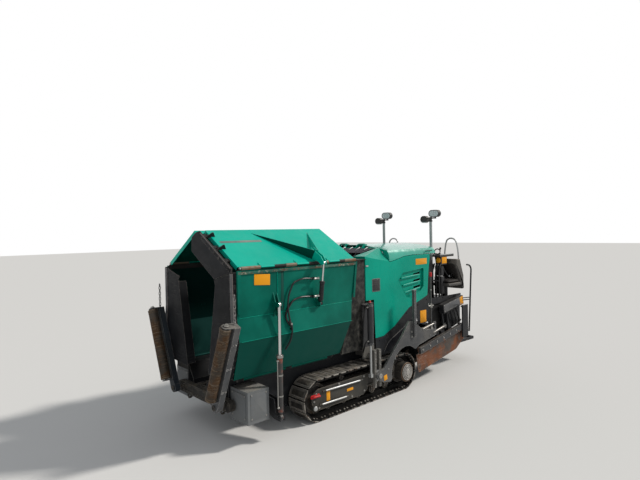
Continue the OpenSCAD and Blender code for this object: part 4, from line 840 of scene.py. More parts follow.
hopper = {
    "hinge": (0.700, 0, 1.665), "slope": 31.0,
    "sleeves": [(0.043, 0.257), (0.563, 0.697), (1.003, 1.137), (1.383, 1.557)],
    "gaps": [(0.422, 0.558), (0.862, 0.998), (1.302, 1.378)],      # between the upper hinge's knuckles
    "footGaps": [(0.010, 0.133), (0.637, 0.713), (1.217, 1.350)],  # over the frame's knuckles
    "footStrip": [(0.566, 0.6287), (0.616, 0.6362), (0.613, 0.6480), (0.566, 0.6345)],
    "seal": [(0.684, 1.600), (0.697, 1.600), (0.697, 1.625), (0.687, 1.640), (0.687, 1.6535), (0.684, 1.6535)],
    "rail": [(0.006, 1.610), (1.556, 1.610), (1.562, 1.634), (0.006, 1.634)],
    "pinHead": [(0.004, 0), (0.0125, 0), (0.0125, 0.006), (0.009, 0.010), (0.004, 0.010)],
    "flapCorner": (0.666, 1.671), "flapEdge": (-0.8533, 0.5216),  # the near flap's apron and its upper edge
    "apronS": -0.0338, "boltSize": 0.009,
    "flange": [(0.590, 0.640), (0.719, 1.000), (0.688, 1.210), (0.686, 1.620)],
    "apronBolts": [(0.635, 0.720), (0.690, 0.870), (0.722, 1.020), (0.700, 1.140), (0.690, 1.300), (0.688, 1.440),
                   (0.687, 1.570)],
    "foot": [(0.215, 0.575), (0.470, 0.575), (0.470, 0.648), (0.226, 0.648)],
    "sign": [(0.187, 1.502), (0.369, 1.488), (0.372, 1.592), (0.190, 1.606)],
    "stripe": (0.438, 0.476, 0.07, 0.56),  # from and to along the slope, then along the machine
    "signX": 0.6992, "railX": 0.7098, "shadeX": 0.6958,
    "welds": {"creaseWeld": (0.7262, 1.000, 1.46), "bandWeld": (0.6932, 1.211, 1.50)},  # x, z and how far back
    "groove": [(0.7002, 0.457, 1.236), (0.7002, 0.459, 1.40), (0.7016, 0.460, 1.604)],
    "grooveShade": [(0.500, 1.232), (0.536, 1.232), (0.536, 1.606), (0.508, 1.606)],
}


def onFlap(shape, lift):
    # u from the flap's hinge up its slope, s, and w out of the upper face
    u, s, w = np.moveaxis(shape[0] + [0, 0, lift], -1, 0)
    a, (x, _, z) = math.radians(hopper["slope"]), hopper["hinge"]
    x, z = x - u * math.cos(a) + w * math.sin(a), z + u * math.sin(a) + w * math.cos(a)
    return np.stack([x, s, z], axis=-1), shape[1]


def makeHinges(h):
    # sleeves on the wing's knuckles; cores and lips close the upper hinge between them, strips the lower one
    for name, inner, outer, sides, spans, finish in (("hingeSleeve", 0.010, 0.0172, 24, h["sleeves"], "hingeWear"),
                                                     ("hingeCore", 0.008, 0.0152, 20, h["gaps"], "rubber")):
        rings = [turned(drum(inner, outer, a, b), h["hinge"], alongS, sides) for a, b in spans]
        makePair(name, joined(*rings), finish, "wing")
    lips = [onFlap(slab(rectangle(0.0163, 0.034, a, b), 0.0055, 0.001), -0.0028) for a, b in h["gaps"]]
    makePair("hingeLip", joined(*lips), "tealPaint", "flap")
    strips = [onFront(slab(h["footStrip"], b - a, 0.001), b) for a, b in h["footGaps"]]
    makePair("footStrip", joined(*strips), "rubber", "wing")
    makePair("hingeSeal", onFront(slab(h["seal"], 1.488), 1.500), "rubber", "wing")
    makePair("hingeRail", onSide(slab(h["rail"], 0.0012, 0.0005), h["railX"]), "railWear", "wing")
    x, s, z = h["hinge"]
    makePair("hingePinHead", turned(h["pinHead"], (x, s + 0.0385, z), forward, 16), "zincSteel", "wing")


def makeAprons(h):
    # a strip and a bead bolted along the near flap's apron, and a light flange on the outer edge of each wing's
    along = np.array([h["flapEdge"], (-h["flapEdge"][1], h["flapEdge"][0])])
    onEdge = lambda places: np.array(h["flapCorner"]) + places @ along
    strip = slab(onEdge(rectangle(0.02, 0.61, 0.016, 0.052)), 0.006, 0.0015)
    makePiece("apronStrip", onFront(strip, -0.0335), "apronSteel", "flap_left")
    heads = [(x, -0.0395, z) for x, z in onEdge(np.array(grid(row(0.05, 0.58, 7), (0.034,))))]
    makePiece("apronStripBolts", bolts(forward, h["boltSize"], heads), "apronSteel", "flap_left")
    rim = slab(onEdge(rectangle(0.01, 0.64, 0.004, 0.011)), 0.004, 0.001)
    makePiece("apronRim", onFront(rim, h["apronS"]), "flangeSteel", "flap_left")
    edge = np.array(h["flange"])
    flange = slab(np.concatenate([edge, edge[::-1] - [0.046, 0]]), 0.004, 0.001)
    makePair("apronFlange", onFront(flange, h["apronS"]), "flangeSteel", "wing")
    spots = [(x - 0.055, h["apronS"], z) for x, z in h["apronBolts"]]
    makePair("apronBolts", bolts(forward, h["boltSize"], spots), "apronSteel", "wing")
    makePair("apronFoot", onFront(slab(h["foot"], 0.005, 0.0015), -0.018), "rubber", "wing")


def makeWingTrim(h):
    # sign plates, and weld beads whose radius swells in a row along the creases
    makePair("wingSign", onSide(slab(h["sign"], 0.0022, 0.0008), h["signX"]), "signOrange", "wing")
    makePair("flapStripe", onFlap(slab(rectangle(*h["stripe"]), 0.0012, 0.0004), 0.0028), "stripeGrey", "flap")
    s = row(0.02, 1.40, 240)
    for name, (x, z, end) in h["welds"].items():
        path = np.stack([np.full_like(s, x), s * end / 1.40, np.full_like(s, z)], axis=1)
        makePair(name, tube(path, 0.0022 + 0.0008 * np.sin(s * 420), 6), "tealPaint", "wing")
    makePair("grooveLip", tube(h["groove"], 0.0030, 8), "tealPaint", "wing")
    # a dark strip on one side of the groove: painted shadow
    shade = onSide(slab(h["grooveShade"], 0.0012, 0.0004), h["shadeX"])
    makePair("grooveShade", shade, "tealPaintedShade", "wing")


makeHinges(hopper)
makeAprons(hopper)
makeWingTrim(hopper)
print("hopper trim done")


# cylinder fittings

fittings = {
    "ports": [(0.764, 0.940, 1.510), (0.760, 0.940, 1.330)], "nutR": 0.0135,
    "joint": [(0.010, -0.008), (0.0115, -0.006), (0.0115, 0.006), (0.010, 0.008)],
    "jointPlace": (0.742, 0.588, 1.088), "jointAxis": (0.05, 0.25, -1),
    "foot": (0.745, 0.430, 0.214), "eye": (0.752, 0.430, 1.298),  # of the big wing cylinder
    "straps": [(0.574, 0.0315, 0.0350, 0.028), (0.200, 0.0270, 0.0300, 0.014), (0.400, 0.0270, 0.0300, 0.014)],
    "pipeSide": (0.010, -0.036, 0.0),
    "pipe": [(0.105, 0.75), (0.118, 1), (0.30, 1), (0.50, 1), (0.545, 0.95)],  # along the barrel, and how far out
    "portNut": [(0.003, 0), (0.0115, 0), (0.0115, 0.014), (0.008, 0.016), (0.008, 0.022), (0.003, 0.022)],
}


def makeFittings(f):
    # a stepped union nut on each port, and crimped collars where the hoses begin
    nut = [(0.006, 0), (f["nutR"], 0), (f["nutR"], 0.014), (0.010, 0.016), (0.010, 0.030), (0.006, 0.030)]
    unions = [turned(nut, place, forward, 6) for place in f["ports"]]
    collars = [tube([(x, s - a, z) for a in (0.026, 0.034, 0.060, 0.064)], [0.009, 0.0125, 0.0125, 0.0095], 14)
               for x, s, z in f["ports"]]
    makePair("portUnion", joined(*unions, *collars), "zincSteel", "wing")
    makePair("hoseJoint", turned(f["joint"], f["jointPlace"], f["jointAxis"], 16), "zincSteel", "wing")


def makeBarrelTrim(f):
    # gland, straps, pipe and ports along the big wing cylinder, whose axis runs from its foot pin to the rod's eye
    foot, side = np.array(f["foot"]), np.array(f["pipeSide"])
    axis = unit(np.array(f["eye"]) - foot)
    straps = [turned([(r0, 0), (r1, 0.001), (r1, h - 0.001), (r0, h)], foot + axis * d, axis, 32)
              for d, r0, r1, h in f["straps"]]
    makePair("barrelStraps", joined(*straps), "zincSteel", "wing_barrel")
    path = [foot + axis * d + side * k for d, k in f["pipe"]]
    makePair("barrelPipe", pipe(path, 0.0058, 12), "zincSteel", "wing_barrel")
    ports = [turned(f["portNut"], foot + axis * d + side * 0.62, unit(side), 6) for d in (0.100, 0.550)]
    makePair("barrelPorts", joined(*ports), "zincSteel", "wing_barrel")


makeFittings(fittings)
makeBarrelTrim(fittings)


# push rollers: barrels, score rings and pin heads

roller = {
    "pivot": (0.420, 0.360), "lean": 22.6, "s": -0.158, "z0": 0.108, "z1": 0.868, "r": 0.053,
    "bands": [(0.004, 0.018), (0.028, 0.034), (0.720, 0.727), (0.738, 0.744), (0.748, 0.757)],
    "scores": 26, "scoreStart": 0.120, "scoreStep": 0.0215,
    "pinHead": [(0.004, 0), (0.024, 0), (0.024, 0.005), (0.016, 0.007), (0.016, 0.016), (0.004, 0.018)],
    "armBolts": grid((0.20, 0.45, 0.70), (-0.085, -0.055)),
}


def onPushArm(shape):
    # drawn upright over the arm's pivot, then leant outwards with the arm
    x, s, z = np.moveaxis(shape[0], -1, 0)
    a, (x0, z0) = math.radians(roller["lean"]), roller["pivot"]
    x, z = x0 + x * math.cos(a) + z * math.sin(a), z0 - x * math.sin(a) + z * math.cos(a)
    return np.stack([x, s, z], axis=-1), shape[1]


def makeRollers(p):
    # bands near the ends and finer scores between them, uneven by sines, round a barrel with two journals
    r, z0, z1 = p["r"], p["z0"], p["z1"]
    foot = (0, p["s"], z0)
    bands = [turned([(0.040, a), (r - 0.0008, a), (r, (a + b) / 2), (r - 0.0008, b), (0.040, b)], foot, alongZ, 36)
             for a, b in p["bands"]]
    for k in range(p["scores"]):
        a = p["scoreStart"] + p["scoreStep"] * k + 0.009 * math.sin(k * 2.7)
        half = 0.0009 + 0.0008 * abs(math.sin(k * 1.3))
        bands.append(turned(drum(0.048, r - 0.0014, a - half, a + half), foot, alongZ, 36))
    makePair("rollerBand", onPushArm(joined(*bands)), "rollerScore", "push_roller")
    core, far = r - 0.0020, z1 - z0
    lower = [(0.002, -0.018), (0.0145, -0.018), (0.015, -0.0175), (0.015, 0), (core - 0.003, 0), (core, 0.003)]
    barrel = turned(lower + [(radius, far - z) for radius, z in lower[::-1]], foot, alongZ, 72)
    for side, flip in eachSide:
        piece = makePiece("rollerBarrel" + side, flip(onPushArm(barrel)), "rustySteel", "push_roller_" + side.lower())
        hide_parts("push_roller_" + side.lower())
    head = turned(p["pinHead"], (0, p["s"], 0.892), alongZ, 20)
    makePair("rollerPinHead", onPushArm(head), "zincSteel", "push_arm")
    heads = bolts(alongX, 0.010, [(0.056, s, z) for z, s in p["armBolts"]])
    makePair("armBolts", onPushArm(heads), "armPaint", "push_arm")


makeRollers(roller)
print("roller trim done")


# tracks: shoe bores, bars, pockets and nuts, and the cover's rods, bolts and signs

track = {
    "midX": 0.575, "idlerS": 0.990, "driveS": 2.420, "z": 0.225, "outerR": 0.225, "innerR": 0.197, "shoes": 36,
    "boreX": (-0.055, 0.055),
    "boreRim": [(0.009, -0.004), (0.009, 0.0006), (0.0105, 0.0012), (0.0135, 0.0006), (0.0135, -0.004)],
    "nuts": [(x, y, -0.0276) for x, y in grid((-0.100, 0.100), (-0.022, 0.022))],
    "coverX": 0.668,
    "rods": [((0.684, 1.040, 0.302), (0.684, 1.660, 0.288)), ((0.684, 1.000, 0.168), (0.684, 1.420, 0.160))],
    "coverBolts": [(0.960, 0.285), (0.930, 0.215), (1.000, 0.135), (1.300, 0.320), (1.700, 0.315), (1.705, 0.150),
                   (1.500, 0.130)],
    "coverSigns": [(1.108, 1.160, 0.178, 0.279), (1.420, 1.520, 0.205, 0.235)],
    "knob": [(0.004, 0), (0.008, 0), (0.008, 0.012), (0.021, 0.014), (0.026, 0.022), (0.026, 0.030), (0.019, 0.038),
             (0.004, 0.040)],
    "grip": [(0.668, 0.900, 0.268), (0.694, 0.905, 0.272), (0.698, 0.945, 0.274), (0.697, 0.985, 0.270),
             (0.668, 0.990, 0.268)],
}


def loopPoints(d, r, t):
    # a point of the track's loop at the distance d along it, at the radius r; straight runs and half circles
    run = t["driveS"] - t["idlerS"]
    arc = np.pi * t["innerR"]
    turnA = (d - run) / arc * np.pi - np.pi / 2
    turnB = (d - 2 * run - arc) / arc * np.pi + np.pi / 2
    parts = [d < run, d < run + arc, d < 2 * run + arc]
    s = np.select(parts, [t["idlerS"] + d, t["driveS"] + r * np.cos(turnA), t["driveS"] - (d - run - arc)],
                  t["idlerS"] + r * np.cos(turnB))
    z = np.select(parts, [t["z"] - r + 0 * d, t["z"] + r * np.sin(turnA), t["z"] + r + 0 * d],
                  t["z"] + r * np.sin(turnB))
    return s, z, np.select(parts, [-np.pi / 2 + 0 * d, turnA, np.pi / 2 + 0 * d], turnB)


def aroundTrack(shape, lift=0.0, xs=(0,), shift=0.5, t=track):
    # the shape, drawn standing along +z, once on each shoe at each x, turned to the shoe's face
    loop = 2 * (t["driveS"] - t["idlerS"]) + 2 * np.pi * t["innerR"]
    d = (np.arange(t["shoes"]) + shift) % t["shoes"] * loop / t["shoes"]
    s, z, angle = loopPoints(d, t["outerR"] + lift, t)
    ca, sa = np.cos(angle - np.pi / 2)[:, None], np.sin(angle - np.pi / 2)[:, None]
    a, b, c = (shape[0][None, :, k] for k in range(3))
    return joined(*[copied(np.stack([a + t["midX"] + x + 0 * ca, s[:, None] + b * ca - c * sa,
                                     z[:, None] + b * sa + c * ca], axis=-1), shape[1]) for x in xs])


def makeShoes(t):
    rim = turned(t["boreRim"], (0, 0, 0), alongZ, 12)
    # the bores are filled near black: painted shade
    hole = turned(drum(0.002, 0.0088, -0.003, 0.0004), (0, 0, 0), alongZ, 12)
    for side, flip in eachSide:
        makePiece("shoeBoreRim" + side, flip(aroundTrack(rim, -0.0011, t["boreX"])), "shoeSteel")
        makePiece("shoeBore" + side, flip(aroundTrack(hole, -0.0005, t["boreX"])), "recessShade")
    # grouser bars, low ribs across each shoe with worn rounded tops
    bar = slab(rectangle(-0.118, 0.118, -0.004, 0.004), 0.005, 0.002)
    makeBoth("shoeBars", aroundTrack(bar, -0.0048, shift=0.78), "shoeSteel")
    end = carried(plate(-0.036, 0.036, -0.0130, -0.0030, 0.002, 0.0018, 0.0006), (0.1246, 0, 0), alongS, alongZ)
    # dark plates on the shoes: painted shade in their pockets, with dirt
    pocket = plate(-0.090, 0.090, -0.028, 0.028, 0.006, 0.0018, 0.0006)
    makeBoth("shoePockets", aroundTrack(pocket, -0.0016), "pocketShadeAndDirt")
    makeBoth("shoeEnds", aroundTrack(end), "wornSteel")
    makeBoth("shoeNuts", aroundTrack(bolts((0, 0, -1), 0.009, t["nuts"])), "wornSteel")


def makeCoverTrim(t):
    x = t["coverX"]
    rods = [tube(row(a, b, 6), [0.0085, 0.0102, 0.0102, 0.0102, 0.0102, 0.0085], 16) for a, b in np.array(t["rods"])]
    makeBoth("guardRods", joined(*rods), "silverPaint")
    makeBoth("coverBolts", sideBolts(0.009, x, t["coverBolts"]), "zincSteel")
    signs = [onSide(plate(*place, 0.004, 0.002, 0.0007), x - 0.0002) for place in t["coverSigns"]]
    makeBoth("coverSigns", joined(*signs), "signOrange")
    makeBoth("coverKnob", turned(t["knob"], (x, 0.925, 0.150), alongX, 28), "silverPaint")
    back = onSide(plate(0.880, 1.005, 0.250, 0.288, 0.010, 0.006, 0.002), x)
    makePiece("coverGrip", joined(pipe(t["grip"], 0.0105, 12), back), "redPaint")


makeShoes(track)
makeCoverTrim(track)


# drive wheels: turned rings, a stepped cap, grooves darkened by painted shade and dirt, and bolts on the hub

hub = {
    "ring": [(0.090, 0), (0.1165, 0), (0.1165, 0.003), (0.113, 0.0055), (0.106, 0.0055), (0.1045, 0.002),
             (0.090, 0.002)],
    "face": [(0.070, 0), (0.0995, 0), (0.0995, 0.0015), (0.096, 0.0035), (0.0925, 0.0035), (0.0905, 0.001),
             (0.0845, 0.001), (0.070, 0.001)],
    "cap": [(0.003, 0), (0.0800, 0), (0.0800, 0.005), (0.077, 0.0085), (0.069, 0.0085), (0.0665, 0.0045),
            (0.0615, 0.0045), (0.059, 0.0110), (0.046, 0.0135), (0.0435, 0.0115), (0.040, 0.0115), (0.0375, 0.0140),
            (0.020, 0.0155), (0.003, 0.016)],
    "grooves": [(0.1020, 0.7372), (0.0824, 0.7464), (0.0640, 0.7494), (0.0418, 0.7563)],  # radius and x
    "bolts": 10, "boltCircle": 0.088,
}


def makeHubs(h, t):
    s, z = t["driveS"], t["z"]
    for part, x in (("Ring", 0.7348), ("Face", 0.7448), ("Cap", 0.7447)):
        finish = "hubBronze" if part == "Ring" else "hubSilver"
        makeBoth("hub" + part, turned(h[part.lower()], (x, s, z), alongX, 64), finish)
    # dark rings in the cap's grooves: painted shade, with dirt
    grooves = [ring((x, s, z), alongX, r, 0.0025, 64, 8) for r, x in h["grooves"]]
    makeBoth("hubGrooves", joined(*grooves), "pocketShadeAndDirt")
    a = np.arange(h["bolts"]) * 2 * np.pi / h["bolts"]
    places = np.stack([s + h["boltCircle"] * np.cos(a), z + h["boltCircle"] * np.sin(a)], axis=1)
    makeBoth("hubBolts", sideBolts(0.0055, 0.7450, places), "trackSteel")


makeHubs(hub, track)
print("track trim done")


# front boxes

frontBox = {
    "door": (0.118, 0.305, 0.250, 0.495, 0.006), "side": 0.7000, "front": 0.0795, "boltSize": 0.006,
    "doorBolts": grid((0.130, 0.293), (0.262, 0.483)), "frontBolts": grid((0.452, 0.658), (0.268, 0.478)),
}


def makeBoxTrim(b):
    makeBoth("boxDoor", onSide(plate(*b["door"], 0.0022, 0.0008), b["side"]), "boxPaint")
    makeBoth("boxBolts", sideBolts(b["boltSize"], b["side"] + 0.0022, b["doorBolts"]), "zincSteel")
    heads = [(x, b["front"], z) for x, z in b["frontBolts"]]
    makeBoth("boxFrontBolts", bolts(forward, b["boltSize"], heads), "zincSteel")


makeBoxTrim(frontBox)


# hood: hatch, sign, latch, slats, grille and handles

hoodTrim = {
    "x": 0.615,
    "hatch": (1.935, 2.077, 1.257, 1.413),
    "sign": (2.805, 3.049, 1.528, 1.606, 0.005),
    "latch": (1.822, 1.868, 1.562, 1.580, 0.004),
    "latchBow": [(0.004, 1.826), (0.010, 1.834), (0.010, 1.858), (0.004, 1.866)], "latchZ": 1.571,
    "slats": 3, "slatStart": (0.6100, 2.506, 1.381), "slatEnd": (0.6100, 2.905, 1.403),
    "recess": [(2.440, 1.362), (2.530, 1.446), (2.955, 1.480), (2.975, 1.465), (2.968, 1.236), (2.900, 1.180),
               (2.680, 1.116), (2.600, 1.130), (2.440, 1.362)],
    "grille": (0, 1.984, 1.7145), "grilleRise": (0, 0.220, 0.050),
    "tip": [(2.120, 1.7480), (2.150, 1.7610), (2.186, 1.7735), (2.197, 1.7690)],
    "handle": [(0.6135, 3.02, 1.700), (0.632, 3.03, 1.702), (0.634, 3.09, 1.704), (0.632, 3.15, 1.706),
               (0.6135, 3.16, 1.706)],
}


def makeHoodTrim(h):
    x = h["x"]
    s0, s1, z0, z1 = h["hatch"]
    makeBoth("hatchRim", onSide(plate(s0, s1, z0, z1, 0.008, 0.004, 0.0015), x - 0.0004), "flangeSteel")
    inner = plate(s0 + 0.010, s1 - 0.010, z0 + 0.014, z1 - 0.006, 0.006, 0.0024, 0.001)
    ribs = [plate(s0 + 0.026, s1 - 0.026, z, z + 0.007, 0.003, 0.0042, 0.0015)
            for z in row(z0 + 0.034, z1 - 0.036, 5)]
    makeBoth("hatchPlate", onSide(joined(inner, *ribs), x + 0.0032), "darkPlastic")
    makeBoth("hoodSign", onSide(plate(*h["sign"], 0.0018, 0.0006), x - 0.0002), "signOrange")
    bow = tube([(x + out, s, h["latchZ"]) for out, s in h["latchBow"]], 0.003, 8)
    makeBoth("hoodLatch", joined(onSide(plate(*h["latch"], 0.006, 0.002), x - 0.0004), bow), "zincSteel")
    # rounded lips on the slats, in a lighter teal as a painted highlight, and a bead round their recess
    lips = []
    for i in range(h["slats"]):
        path = row(h["slatStart"] + np.array([0, 0.034, -0.094]) * i, h["slatEnd"] + np.array([0, 0, -0.086]) * i, 8)
        lips.append(tube(path, [0.002, 0.0050, 0.0062, 0.0062, 0.0062, 0.0062, 0.0050, 0.002], 8))
    makeBoth("slatLips", joined(*lips), "slatHighlight")
    makeBoth("recessLip", tube([(x, s, z) for s, z in h["recess"]], 0.0026, 6), "tealPaint")


def makeHoodTop(h):
    # a dark ribbed cover over the front grille's fins, their bright tips along its upper edge, the net below,
    # and the handles at the lid's rear corners
    ribs = [slab(rounded(-0.395, 0.395, v, v + 0.004, 0.0015, 2), 0.0042, 0.0012) for v in row(0.010, 0.196, 12)]
    cover = joined(plate(-0.402, 0.402, 0, 0.2105, 0.008, 0.0025, 0.001), *ribs)
    makePiece("grilleCover", carried(cover, h["grille"], alongX, h["grilleRise"]), "grillePaint")
    tips = [tube([(x, s, z) for s, z in h["tip"]], [0.002, 0.0070, 0.0085, 0.005], 8) for x in row(-0.325, 0.325, 6)]
    makePiece("finTips", joined(*tips), "silverPaint")
    wires = [tube([(x, 1.83, 1.6425), (x, 2.215, 1.7345)], 0.0016, 6) for x in row(-0.42, 0.42, 43)]
    makePiece("grilleNet", joined(*wires), "darkPaint")
    makeBoth("lidHandles", pipe(h["handle"], 0.006), "darkPlastic", "lid")


makeHoodTrim(hoodTrim)
makeHoodTop(hoodTrim)
print("hood trim done")


# lower panels and signs behind the hood

panel = {
    "x": 0.6110,
    "upper": [(2.139, 0.508), (2.234, 0.615), (2.420, 0.699), (2.648, 0.803)],  # the crescent's two edges, s and z
    "lower": [(2.640, 0.790), (2.522, 0.694), (2.350, 0.575), (2.240, 0.500)],
    "sign": (2.890, 3.025, 0.752, 0.913, 0.005),
    "bolts": [(2.06, 0.66), (2.20, 0.70), (2.44, 0.80), (2.60, 0.92), (2.84, 1.00), (3.05, 1.05), (3.09, 0.78),
              (2.87, 0.78)],
    "consoleSign": (3.444, 3.562, 1.506, 1.596, 0.005), "consoleX": 0.5950,
}


def makePanelTrim(p):
    x = p["x"]
    edges = [curveThrough([(s, z, 0) for s, z in p[name]], 6)[:, :2] for name in ("upper", "lower")]
    # a near-black sheet over the crescent: painted shade for its recess
    makeBoth("panelRecess", onSide(slab(np.concatenate(edges), 0.0016, 0.0005), x - 0.0002), "recessShade")
    makeBoth("panelBead", pipe([(x + 0.0002, s, z) for s, z in p["upper"]], 0.004, 8, 10), "midPaint")
    makeBoth("panelSign", onSide(plate(*p["sign"], 0.002, 0.0007), x), "signOrange")
    makeBoth("panelBolts", sideBolts(0.008, x, p["bolts"]), "darkPaint")
    makeBoth("consoleSign", onSide(plate(*p["consoleSign"], 0.002, 0.0007), p["consoleX"]), "signOrange")


makePanelTrim(panel)


# tow guides: cap, ports, hoses and bands of the cylinder

guide = {
    "axis": (0.716, 1.775), "capZ": 1.158, "portS": 1.742, "ports": (1.110, 0.720),
    "cap": [(0.003, 0), (0.016, 0), (0.016, 0.004), (0.012, 0.008), (0.012, 0.020), (0.008, 0.026), (0.003, 0.027)],
    "port": [(0.004, 0), (0.011, 0), (0.011, 0.018), (0.007, 0.020), (0.007, 0.030), (0.004, 0.030)],
    "hoses": [
        [(0.716, 1.712, 1.110), (0.712, 1.690, 1.085), (0.700, 1.686, 1.000), (0.672, 1.700, 0.860),
         (0.640, 1.730, 0.740), (0.626, 1.738, 0.640)],
        [(0.716, 1.712, 0.720), (0.708, 1.695, 0.700), (0.690, 1.700, 0.660), (0.655, 1.722, 0.610),
         (0.628, 1.738, 0.570)],
    ],
    "bands": (0.676, 1.118),
}


def makeGuideTrim(g):
    x, s = g["axis"]
    makeBoth("guideCap", turned(g["cap"], (x, s, g["capZ"]), alongZ, 20), "redPaint")
    ports = [turned(g["port"], (x, g["portS"], z), forward, 6) for z in g["ports"]]
    makeBoth("guidePorts", joined(*ports), "zincSteel")
    makeBoth("guideHoses", joined(*[pipe(path, 0.0085, 10, 8) for path in g["hoses"]]), "hoseRubber")
    bands = [turned(drum(0.030, 0.0365, z, z + 0.016), (x, s, 0), alongZ, 28) for z in g["bands"]]
    makeBoth("guideBands", joined(*bands), "midPaint")


makeGuideTrim(guide)


# tow arms: spindle, rods, post, bolts and signs; they lie tilted at rest

towArm = {
    "pin": (1.875, 0.300), "tilt": math.radians(9.5),
    "spindle": (0.755, 2.930, 0),
    "knob": [(0.004, 1.372), (0.0165, 1.374), (0.0175, 1.385), (0.0175, 1.415), (0.0145, 1.428), (0.004, 1.430)],
    "collars": [(0.700, 0.021, 0.016), (0.730, 0.015, 0.010), (0.985, 0.020, 0.018), (1.012, 0.014, 0.010),
                (1.200, 0.012, 0.008)],  # height, radius and half length
    "rods": {"upperRod": (0.895, 1.190, 0.262, 0.262), "lowerRod": (1.110, 1.422, 0.1462, 0.1499)},
    "handleZ": 0.990,
    "post": (0.764, 0.804, 2.505, 2.551), "postZ": 1.2355,
    "clampBolts": [(2.49, 0.66), (2.565, 0.70), (2.49, 0.72)],
    "plateBolts": [(0.16, 0.02), (0.30, 0.10), (0.92, 0.16), (1.05, 0.14)],
    "pinCap": [(0.004, 0), (0.0285, 0), (0.0285, 0.003), (0.022, 0.0055), (0.012, 0.0055), (0.010, 0.003),
               (0.004, 0.003)],
}


def tilted(points):
    # u along the tow arm, w square to it, as the screed lies at rest
    x, u, w = np.moveaxis(np.asarray(points, dtype=float), -1, 0)
    (s, z), ca, sa = towArm["pin"], math.cos(towArm["tilt"]), math.sin(towArm["tilt"])
    return np.stack([x, s + u * ca - w * sa, z + u * sa + w * ca], axis=-1)


def onTowArm(shape, x, u, w):
    # drawn in u and w, standing out from the arm's side at the place (u, w)
    ca, sa = math.cos(towArm["tilt"]), math.sin(towArm["tilt"])
    return carried(shape, tilted([(x, u, w)])[0], (0, ca, sa), (0, -sa, ca))


def makeArmTrim(p):
    x, s, _ = p["spindle"]
    makeBoth("spindleKnob", turned(p["knob"], p["spindle"], alongZ, 24), "redPaint", "screed")
    collars = [turned(drum(0.006, r, z - h, z + h), p["spindle"], alongZ, 20) for z, r, h in p["collars"]]
    z = p["handleZ"]
    bar = tube([(x, s + out, z) for out in (-0.055, -0.045, 0.045, 0.055)], [0.006, 0.009, 0.009, 0.006], 12)
    grip = pipe([(x, s - 0.050, z), (x, s - 0.058, z + 0.020), (x, s - 0.056, z + 0.040)], 0.007, 10, 5)
    makeBoth("spindleCollars", joined(*collars, bar, grip), "zincSteel", "screed")
    for name, (u0, u1, w0, w1) in p["rods"].items():
        a, b = tilted([(x, u0, w0), (x, u1, w1)])
        rod = tube(row(a, b, 6), [0.0150, 0.0164, 0.0164, 0.0164, 0.0164, 0.0150], 18)
        nuts = [tube(row(a + (b - a) * k, a + (b - a) * (k + 0.07), 2), 0.021, 6) for k in (0.02, 0.90)]
        makeBoth(name, joined(rod, *nuts), "greaseSteel", "screed")
    makeBoth("postCap", onTop(plate(*p["post"], 0.004, 0.006, 0.002), p["postZ"]), "silverPaint", "screed")
    makeBoth("armBoltHeads", sideBolts(0.011, 0.7675, p["clampBolts"]), "zincSteel", "screed")
    spots = tilted([(0.7672, u, w) for u, w in p["plateBolts"]])
    makeBoth("armPlateBolts", bolts(alongX, 0.009, spots), "armPaint", "screed")
    sign = plate(0, 0.058, 0, 0.062, 0.004, 0.002, 0.0007)
    makeBoth("armSign", onTowArm(sign, 0.7669, 0.058, -0.085), "signOrange", "screed")
    makeBoth("towPinCap", turned(p["pinCap"], (0.7748, *p["pin"]), alongX, 28), "zincSteel", "tow_sliders")


makeArmTrim(towArm)


# control boxes at the screed's sides, with their hoses, and the end beam and rail post

sideBox = {
    "x": 0.680, "hoses": 4,
    "boltU": [1.565 + 0.14 * i for i in range(4)], "boltW": (0.292, 0.378),
    "railPost": (0.7385, 0.7600, 3.698, 3.842), "railPostZ": 0.9045,
    "beamX": 0.7402, "beamBolts": [0.90 + 0.16 * i for i in range(7)],
}


def makeSideBoxTrim(p):
    x = p["x"]
    sign = plate(0, 0.086, 0, 0.110, 0.004, 0.002, 0.0007)
    makePair("boxSign", onTowArm(sign, x - 0.0001, 1.963, 0.278), "signOrange", "extension")
    # hoses that leave the box below and sag to the extension, each a little farther on than the one before
    loops = []
    for k in range(p["hoses"]):
        a, thick = 1.66 + 0.07 * k, 0.0085 + 0.0012 * (k % 2)
        path = [(0.650, a, 0.300), (0.668, a + 0.01, 0.200), (0.655, a + 0.03 + 0.01 * k, 0.080),
                (0.640, a + 0.07, 0.020), (0.640, a + 0.13, 0.015 + 0.01 * k)]
        loops.append(pipe(tilted(path), thick, 10, 8))
    makePair("boxHoses", joined(*loops), "hoseRubber", "extension")
    door = plate(0.010, 0.470, 0.006, 0.110, 0.004, 0.002, 0.0007)
    makePair("boxDoorPlate", onTowArm(door, x - 0.0003, 1.545, 0.278), "midPaint", "extension")
    heads = tilted([(x + 0.0015, u, w) for u, w in grid(p["boltU"], p["boltW"])])
    makePair("boxPlateBolts", bolts(alongX, 0.006, heads), "zincSteel", "extension")
    back = plate(0, 0.455, 0, 0.262, 0.010, 0.003, 0.001)
    makePair("boxBackPlate", onTowArm(back, 0.6110, 1.572, 0.006), "darkPaint", "extension")
    cap = onTop(plate(*p["railPost"], 0.003, 0.005, 0.002), p["railPostZ"])
    makePair("railPostCap", cap, "silverPaint", "extension")
    heads = tilted([(p["beamX"], u, -0.012) for u in p["beamBolts"]])
    makePair("endBeamBolts", bolts(alongX, 0.009, heads), "zincSteel", "extension")


makeSideBoxTrim(sideBox)


# rubber screens under the deck, and the bundle of hoses before them

screens = {
    "deck": [(3.150, 0.965), (3.800, 0.965), (3.800, 0.790), (3.700, 0.735), (3.300, 0.700), (3.150, 0.715)],
    "screed": [(3.150, 0.740), (3.800, 0.815), (3.800, 0.702), (3.700, 0.642), (3.300, 0.602), (3.150, 0.622)],
    "deckX": 0.5640, "screedX": 0.5520,
    "hoses": 6, "hoseStart": 3.455, "hoseStep": 0.052,
}


